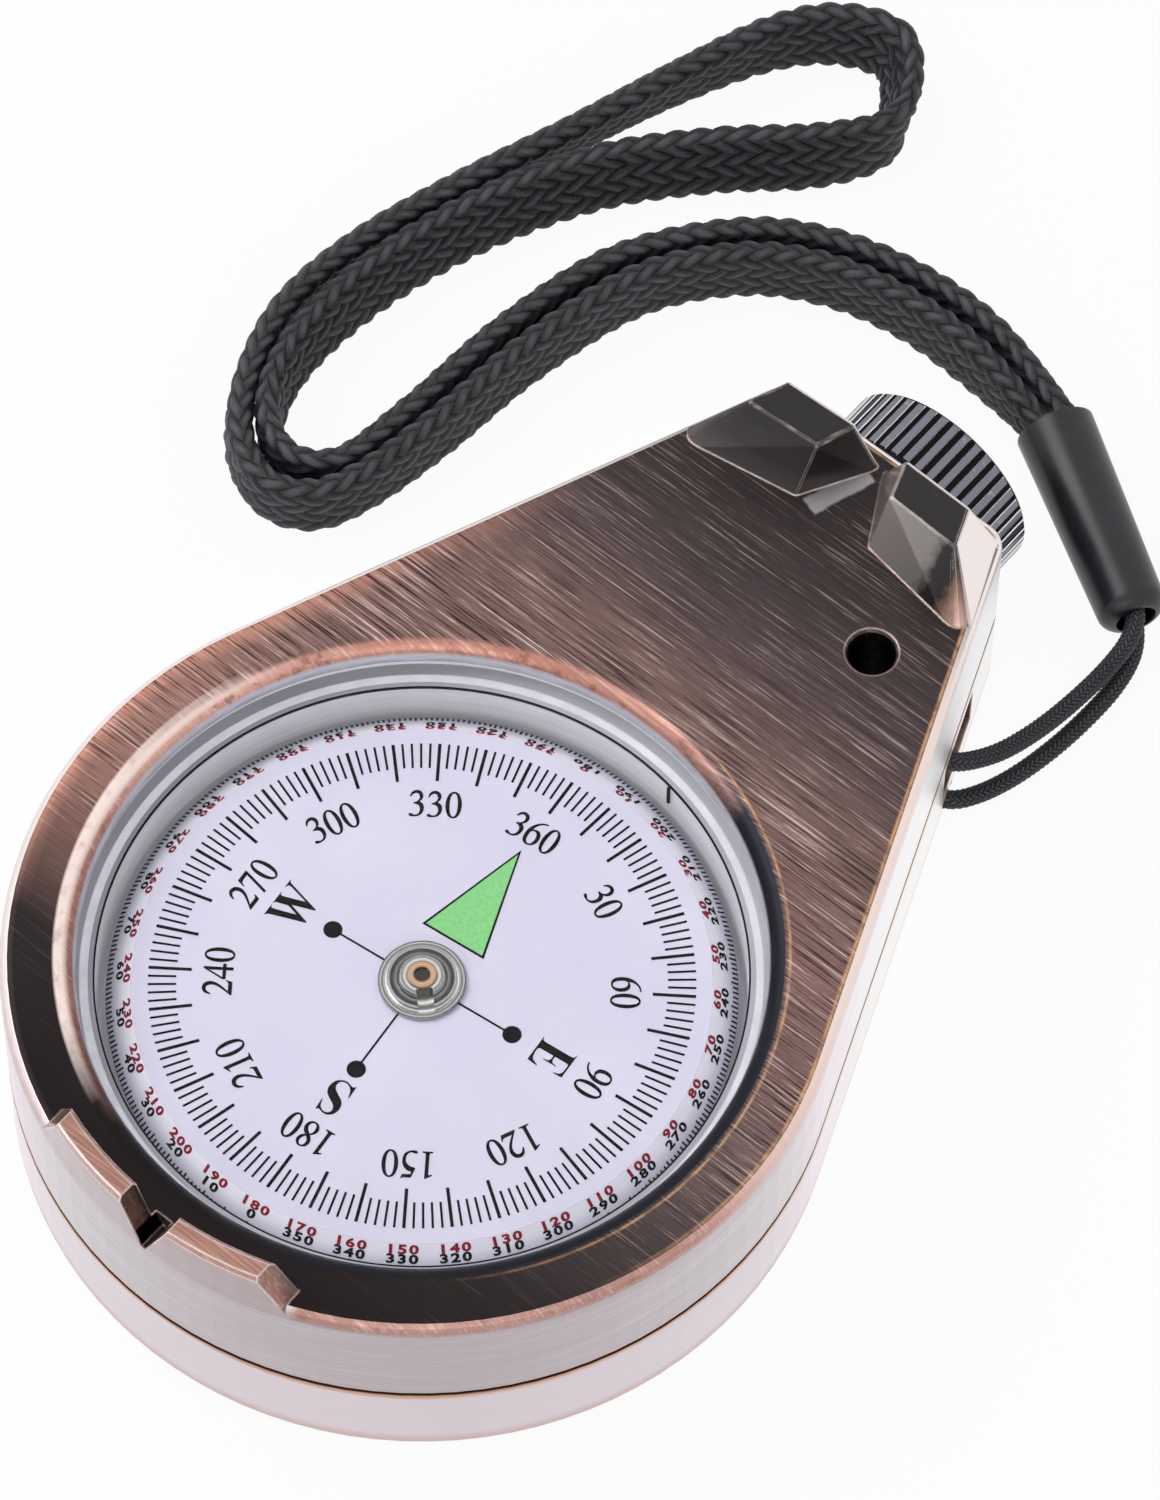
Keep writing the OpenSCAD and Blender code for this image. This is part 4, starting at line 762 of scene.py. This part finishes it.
    # The groove at the parting line keeps its black
    inGroove, past = case["groove"], case["groove"] + case["fade"]
    seam = within(tree, (z, case["split"] - past, case["split"] - inGroove),
                  (z, case["split"] + past, case["split"] + inGroove))
    colour = layered(tree, face, [(wall, satin), (shade, "#26272d"), (bend, rubbedCopper),
                                  (leftLipWhiteHighlight, "#fae6df"), (bore, "#dfe2e4"), (edge, bare),
                                  (golden, "#d8a67c"), (seam, "#1c120e")])
    glossy = add(tree, "Math", {0: raised, 1: wall}, operation="SUBTRACT", use_clamp=True)
    rough = add(tree, "Mix", {0: wall, 2: add(tree, "MapRange", {0: lines, 3: 0.28, 4: 0.46}),
                              3: add(tree, "MapRange", {0: level, 3: 0.30, 4: 0.42})})
    rough = add(tree, "Mix", {0: glossy, 2: rough, 3: 0.2})
    relief = add(tree, "Mix", {0: wall, 2: lines, 3: level})
    bump = add(tree, "Bump", {"Strength": 0.4, "Distance": 0.02 * mm, "Height": relief, "Normal": softened})
    metallic = add(tree, "MapRange", {0: glossy, 3: 1.0, 4: 0.5})
    shader = add(tree, "BsdfPrincipled", {"Base Color": colour, "Metallic": metallic, "Roughness": rough,
                                          "Normal": bump})
    add(tree, "OutputMaterial", {0: shader})
    return material


# A look: width of the worn edges in mm, shares of copper, golden line and left rim, colours of the bright
# and deep lines, the painted reflection's directions, middles and reaches in mm, and ramps for the face
# and the strength of its lines, which paint the brushed reflection, for the wall, painted by facing as a
# reflection, the wall by height, the copper and the bare metal
topMetal = shellMaterial("blackenedCopperBrushed", dict(
    edge=0.22, bend=0.95, gold=0.9, left=0.12, bright="#d8bfb9", deep="#1c1819",
    paintedReflection=[((0.95, -0.31, 0), 43.5, 2.5), ((0.31, 0.95, 0), 15.45, 0.75)],
    face=[(0.06, "#241f20"), (0.18, "#302a2b"), (0.28, "#4c4242"), (0.38, "#6d5b59"), (0.56, "#836661"),
          (0.68, "#765f5b"), (0.73, "#5f4f4e"), (0.79, "#4f4445"), (0.89, "#3b3435"), (1.0, "#312c2e")],
    lines=[(0.05, 0.0), (0.22, 0.06), (0.38, 0.9), (0.62, 1.0), (0.74, 0.5), (0.82, 0.35), (1.0, 0.25)],
    wall=[(0.0, "#ffffff"), (0.25, "#f4e8ee"), (0.55, "#d6d0d4"), (1.0, "#baafb4")],
    height=[(0.37, "#fff4ee"), (0.42, "#ffffff"), (0.74, "#ffffff"), (0.79, "#f4ebe9")],
    copper=[(0.35, "#b78071"), (0.5, "#c99385"), (0.65, "#dcab9d")],
    bare=[(0.35, "#c9a193"), (0.5, "#ecd3ca"), (0.68, "#fbf2ee")]))
lowMetal = shellMaterial("rubbedCopperSatin", dict(
    edge=0.18, bend=0.5, gold=0.0, left=0.9, bright="#d9c4c0", deep="#5a4a48", paintedReflection=[],
    face=[(0.0, "#8f7a76"), (1.0, "#a58f8a")], lines=[(0.0, 0.4), (1.0, 0.4)],
    wall=[(0.0, "#ffffff"), (0.25, "#f7ebf1"), (0.55, "#e2dadf"), (1.0, "#dacfd5")],
    height=[(0.0, "#e0b8a8"), (0.045, "#f2dcd4"), (0.09, "#ffffff"), (0.335, "#ffffff"), (0.355, "#f0c4a4"),
            (0.372, "#cf8f62")],
    copper=[(0.35, "#b78071"), (0.5, "#cf9a84"), (0.65, "#e0b098")],
    bare=[(0.35, "#b77f5c"), (0.5, "#d9a67f"), (0.68, "#efcdb0")]))


def turnedMetal(name, colours, roughness, grain):
    # Lathe-turned metal: fine rings round the dial's axis, with painted highlights that show them as thin
    # bright circles
    material, tree = newMaterial(name)
    here = add(tree, "TexCoord", out="Object")
    height = add(tree, "SeparateXYZ", {0: here}, out=2)
    rings = add(tree, "TexNoise", {"Vector": add(tree, "CombineXYZ", {0: axisRadius(tree, here), 1: height}),
                                   "Scale": grain, "Detail": 3.0, "Roughness": 0.7})
    tone = add(tree, "ValToRGB", {0: rings}, stops=colours)
    softened = add(tree, "Bevel", {0: 0.08 * mm}, samples=4)
    bump = add(tree, "Bump", {"Strength": 0.3, "Distance": 0.01 * mm, "Height": rings, "Normal": softened})
    shader = add(tree, "BsdfPrincipled", {"Base Color": tone, "Metallic": 1.0, "Roughness": roughness,
                                          "Normal": bump})
    add(tree, "OutputMaterial", {0: shader})
    return material


def plasticMaterial(name, colours, roughness, scale, bevel=0.1, glow=0.0):
    # Moulded plastic or rubber: even colour, a faint cloud and a fine skin, and a painted glow as strong as
    # glow says
    material, tree = newMaterial(name)
    here = add(tree, "TexCoord", out="Object")
    cloud = add(tree, "TexNoise", {"Vector": here, "Scale": scale, "Detail": 4.0, "Roughness": 0.6})
    skin = add(tree, "TexNoise", {"Vector": here, "Scale": 6000.0, "Detail": 2.0})
    tone = add(tree, "ValToRGB", {0: cloud}, stops=colours)
    softened = add(tree, "Bevel", {0: bevel * mm}, samples=4)
    bump = add(tree, "Bump", {"Strength": 0.15, "Distance": 0.01 * mm, "Height": skin, "Normal": softened})
    rough = add(tree, "MapRange", {0: cloud, 1: 0.3, 2: 0.7, 3: roughness - 0.04, 4: roughness + 0.06})
    shader = add(tree, "BsdfPrincipled", {"Base Color": tone, "Roughness": rough, "Normal": bump,
                                          "Emission Color": tone, "Emission Strength": glow})
    add(tree, "OutputMaterial", {0: shader})
    return material


def clearMaterial(name, ior, tint, roughness, veil=0.0, calm=0.0, edge=None):
    # Polished clear acrylic or glass: light from the lamps passes straight through to what lies below. A
    # sawn edge stays white and carries a painted glow. Calm is the share without a mirror image, and
    # veil the share that doesn't bend the light, as between a fluid and the solids in it
    material, tree = newMaterial(name)
    here = add(tree, "TexCoord", out="Object")
    hair = add(tree, "TexNoise", {"Vector": here, "Scale": 150.0, "Detail": 2.0})
    rough = add(tree, "MapRange", {0: hair, 1: 0.3, 2: 0.8, 3: roughness, 4: roughness + 0.01})
    glass = add(tree, "BsdfPrincipled", {"Base Color": tint, "Roughness": rough, "IOR": ior,
                                         "Specular IOR Level": 0.12, "Transmission Weight": 1.0})
    if calm:
        bent = add(tree, "BsdfRefraction", {"Color": tint, "Roughness": 0.0, "IOR": ior})
        glass = add(tree, "MixShader", {0: calm, 1: glass, 2: bent})
    through = add(tree, "BsdfTransparent", {0: tint})
    shadow = add(tree, "LightPath", out="Is Shadow Ray")
    if veil:
        glass = add(tree, "MixShader", {0: veil, 1: glass, 2: through})
    shader = add(tree, "MixShader", {0: shadow, 1: glass, 2: through})
    if edge:
        nz = add(tree, "SeparateXYZ", {0: add(tree, "NewGeometry", out="Normal")}, out=2)
        side = add(tree, "Math", {0: add(tree, "Math", {0: nz}, operation="ABSOLUTE"), 1: 0.9},
                   operation="LESS_THAN")
        saw = add(tree, "TexNoise", {"Vector": add(tree, "Mapping", {0: here, 3: (40, 40, 4200)}),
                                     "Scale": 1.0, "Detail": 3.0})
        white = add(tree, "ValToRGB", {0: saw}, stops=edge)
        # The sawn edge's emission is a painted glow
        sawn = add(tree, "BsdfPrincipled", {"Base Color": white, "Roughness": 0.5, "Emission Color": white,
                                            "Emission Strength": 0.46})
        shader = add(tree, "MixShader", {0: side, 1: shader, 2: sawn})
    add(tree, "OutputMaterial", {0: shader})
    return material


# The cup's top, where it meets the seal, shows as a dark line round its inner edge, in mm
cup = dict(jointHeight=13.92, jointRadius=22.22)


def frostedMaterial(name, colours, roughness):
    # Milky acrylic: pale, slightly glossy, with a painted glow as if lit from inside, a dark joint along its
    # inner top edge
    material, tree = newMaterial(name)
    here = add(tree, "TexCoord", out="Object")
    z = add(tree, "SeparateXYZ", {0: here}, out=2)
    top = add(tree, "Math", {0: z, 1: cup["jointHeight"] * mm}, operation="GREATER_THAN")
    inner = add(tree, "Math", {0: axisRadius(tree, here), 1: cup["jointRadius"] * mm}, operation="LESS_THAN")
    rings = add(tree, "TexNoise", {"Vector": add(tree, "Mapping", {0: here, 3: (60, 60, 2600)}),
                                   "Scale": 1.0, "Detail": 3.0})
    tone = layered(tree, add(tree, "ValToRGB", {0: rings}, stops=colours),
                   [(within(tree, top, inner), "#17171a")])
    # The faint emission paints the glow
    shader = add(tree, "BsdfPrincipled", {"Base Color": tone, "Roughness": roughness, "IOR": 1.49,
                                          "Emission Color": tone, "Emission Strength": 0.1})
    add(tree, "OutputMaterial", {0: shader})
    return material


def enamelMaterial():
    # Matt white enamel with a lilac cast and a few specks; the skirt is painted lighter at its top, so that
    # its shaded slope meets the face evenly, and painted shade darkens it down its slope
    material, tree = newMaterial("lilacWhiteEnamel")
    here = add(tree, "TexCoord", out="Object")
    cloud = add(tree, "TexNoise", {"Vector": here, "Scale": 120.0, "Detail": 3.0})
    speck = add(tree, "TexVoronoi", {"Vector": here, "Scale": 900.0}, feature="F1")
    dots = add(tree, "Math", {0: speck, 1: 0.05}, operation="LESS_THAN")
    tone = add(tree, "ValToRGB", {0: cloud}, stops=[(0.3, "#ccc8de"), (0.7, "#d2cfe2")])
    radius = axisRadius(tree, here)
    # Painted light at the top of the skirt and painted shade towards its rim
    out = add(tree, "MapRange", {0: radius, 1: dial["rim"] * mm, 2: dial["skirtRim"] * mm})
    skirt = add(tree, "ValToRGB", {0: out}, stops=[(0.0, "#eeebf7"), (0.35, "#e3e1ee"), (1.0, "#918da2")])
    past = add(tree, "Math", {0: radius, 1: (dial["rim"] + 0.02) * mm}, operation="GREATER_THAN")
    tone = layered(tree, tone, [(past, skirt), (within(tree, dots, 0.25), "#a8a4b8")])
    shader = add(tree, "BsdfPrincipled", {"Base Color": tone, "Roughness": 0.55})
    add(tree, "OutputMaterial", {0: shader})
    return material


# Height of the focusing ring's axis and the radii of its ridges and flutes, in mm
focus = dict(height=8.2, tip=7.65, root=7.43)


def flutedMaterial():
    # Black-anodised aluminium, milled, then handled: the flutes stay black, the ridge tops are grey, and a
    # painted highlight runs white along the ridges' edges
    material, tree = newMaterial("blackAnodisedFluted")
    here = add(tree, "TexCoord", out="Object")
    moved = add(tree, "Mapping", {0: here, 1: (0, 0, -focus["height"] * mm), 3: (0, 1, 1)})
    radius = add(tree, "VectorMath", {0: moved}, out=1, operation="LENGTH")
    flankJitter = add(tree, "TexNoise", {"Vector": here, "Scale": 900.0, "Detail": 3.0, "Roughness": 0.7})
    depth = add(tree, "MapRange", {0: radius, 1: focus["root"] * mm, 2: focus["tip"] * mm})
    flankJitter = add(tree, "Math", {0: flankJitter, 1: 0.5}, operation="SUBTRACT")
    depth = add(tree, "Math", {0: flankJitter, 1: 0.25, 2: depth}, operation="MULTIPLY_ADD")
    tone = add(tree, "ValToRGB", {0: depth}, stops=[(0.0, "#060607"), (0.5, "#0e0e11"), (0.62, "#f4f2fb"),
                                                   (0.86, "#ffffff"), (0.97, "#7f7e8a")])
    end = add(tree, "Math", {0: add(tree, "SeparateXYZ", {0: add(tree, "NewGeometry", out="Normal")})},
              operation="ABSOLUTE")
    end = add(tree, "MapRange", {0: end, 1: 0.3, 2: 0.5})
    tone = layered(tree, tone, [(end, "#1b1b1f")])
    softened = add(tree, "Bevel", {0: 0.05 * mm}, samples=4)
    shader = add(tree, "BsdfPrincipled", {"Base Color": tone, "Metallic": 0.8, "Roughness": 0.25,
                                          "Normal": softened})
    add(tree, "OutputMaterial", {0: shader})
    return material


steel, brass, aluminium = (turnedMetal(*row) for row in (
    ("steelTurned", [(0.3, "#9a9a9e"), (0.7, "#c9c9cc")], 0.3, 9000.0),
    ("brassTurned", [(0.3, "#8f6c50"), (0.7, "#e2c2a4")], 0.25, 9000.0),
    ("aluminiumTurned", [(0.38, "#3f3f40"), (0.5, "#8c8c8c"), (0.62, "#e6e6e4")], 0.2, 3600.0)))
blackRubber, paleSilicone, blackAnodised, sleevePlastic, ruby = (plasticMaterial(*row) for row in (
    ("blackRubberMoulded", [(0.3, "#131315"), (0.7, "#1d1d20")], 0.6, 500.0),
    # The pale silicone's last number is a painted glow
    ("paleSiliconeMoulded", [(0.3, "#d9d9df"), (0.7, "#e6e6eb")], 0.45, 500.0, 0.1, 0.3),
    ("blackAnodisedSatin", [(0.3, "#121214"), (0.7, "#1f1f23")], 0.28, 900.0, 0.12),
    ("blackPlasticMoulded", [(0.3, "#111117"), (0.7, "#1c1c24")], 0.3, 160.0, 0.3),
    ("rubyPolished", [(0.3, "#1c0f0c"), (0.7, "#33201a")], 0.12, 900.0)))
lidAcrylic = clearMaterial("acrylicPolished", 1.49, "#ffffff", 0.0, calm=0.8,
                           edge=[(0.4, "#bcbec0"), (0.6, "#eaebec")])
lensGlass = clearMaterial("opticalGlassPolished", 1.52, "#f4fbfa", 0.0)
fluid = clearMaterial("clearFluid", 1.02, "#ffffff", 0.0, veil=0.97)
milkyAcrylic = frostedMaterial("acrylicMilky", [(0.3, "#d9d9e0"), (0.7, "#ebebf0")], 0.35)
finishes = {
    "top_shell": topMetal, "bottom_shell": lowMetal, "case_screws": steel, "window_gasket": paleSilicone,
    "capsule_lid": lidAcrylic, "capsule_seal": paleSilicone, "capsule_cup": milkyAcrylic,
    "capsule_cushion": blackRubber, "fill_plug": steel, "damping_fluid": fluid,
    "lubber_line": inkMaterial("lubberInk", "#1a1a1c", "#101012", 0.5), "pivot_post": brass,
    "pivot_pin": steel, "dial_card": enamelMaterial(), "dial_hub": aluminium, "jewel_bush": brass,
    "pivot_jewel": ruby, "dial_magnets": steel, "eyepiece_barrel": blackAnodised,
    "focus_oring": blackRubber, "focus_ring": flutedMaterial(), "eyepiece_lens": lensGlass,
    "lens_retainer": blackAnodised, "cord_sleeve": sleevePlastic,
}
for node, material in finishes.items():
    nodes[node].data.materials.clear()
    nodes[node].data.materials.append(material)
print("materials set")

# Half the side of the sweep in metres, its colour, and the share of it that is seen as plain white
stage = dict(size=1.6, floor="#fdfdfd", share=0.94)


def seenDirectly(tree):
    # One where the camera, a mirror or glass looks at it, and zero where it only lights the object
    camera = add(tree, "LightPath", out="Is Camera Ray")
    mirrors = add(tree, "Math", {0: camera.node.outputs["Is Glossy Ray"],
                                 1: camera.node.outputs["Is Transmission Ray"]}, operation="MAXIMUM")
    return add(tree, "Math", {0: camera, 1: mirrors}, operation="MAXIMUM")


def stageMaterial():
    # White sweep: mirrors, glass and the camera see it near white, and the lit share keeps the shadow
    material, tree = newMaterial("whiteSweepPaper")
    lit = add(tree, "BsdfDiffuse", {0: stage["floor"]})
    glow = add(tree, "Emission", {0: "#ffffff", 1: 1.0})
    share = within(tree, seenDirectly(tree), stage["share"])
    add(tree, "OutputMaterial", {0: add(tree, "MixShader", {0: share, 1: lit, 2: glow})})
    return material


low = min(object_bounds()[0][2], 0.0)
half = stage["size"]
corners = np.array([[-half, -half, low], [half, -half, low], [half, half, low], [-half, half, low]])
floor = toMesh("floor", corners, [np.array([[0, 1, 2, 3]])], material=stageMaterial(), smooth=False)


# Two soft white lamps, in metres and watts, both turned to a point just behind the dial's middle
lamps = dict(target=(0.02, 0, 0), size=(0.6, 0.5), key=((-0.15, 0.55, 0.75), 2.6),
             fill=((-0.7, -0.5, 0.5), 1.0))


def softbox(name, position, power):
    # A rectangular lamp: its own Z axis points back from the target, its X axis stays level
    light = bpy.data.lights.new(name, "AREA")
    light.shape = "RECTANGLE"
    light.size, light.size_y = lamps["size"]
    light.energy = power
    lamp = bpy.data.objects.new(name, light)
    back = np.array(position, float) - lamps["target"]
    back /= np.linalg.norm(back)
    side = np.cross([0, 0, 1.0], back)
    side /= np.linalg.norm(side)
    matrix = np.eye(4)
    matrix[:3, :3] = np.stack([side, np.cross(back, side), back], 1)
    matrix[:3, 3] = position
    lamp.matrix_world = Matrix(matrix.tolist())
    bpy.context.scene.collection.objects.link(lamp)


softbox("keyLight", *lamps["key"])
softbox("fillLight", *lamps["fill"])

world = bpy.data.worlds.new("studio")
world.use_nodes = True
world.node_tree.nodes.clear()
strength = add(world.node_tree, "MapRange", {0: seenDirectly(world.node_tree), 3: 0.5, 4: 1.0})
add(world.node_tree, "OutputWorld", {0: add(world.node_tree, "Background", {0: (1, 1, 1, 1), 1: strength})})
bpy.context.scene.world = world
bpy.context.scene.view_settings.view_transform = "Standard"
print("stage set")
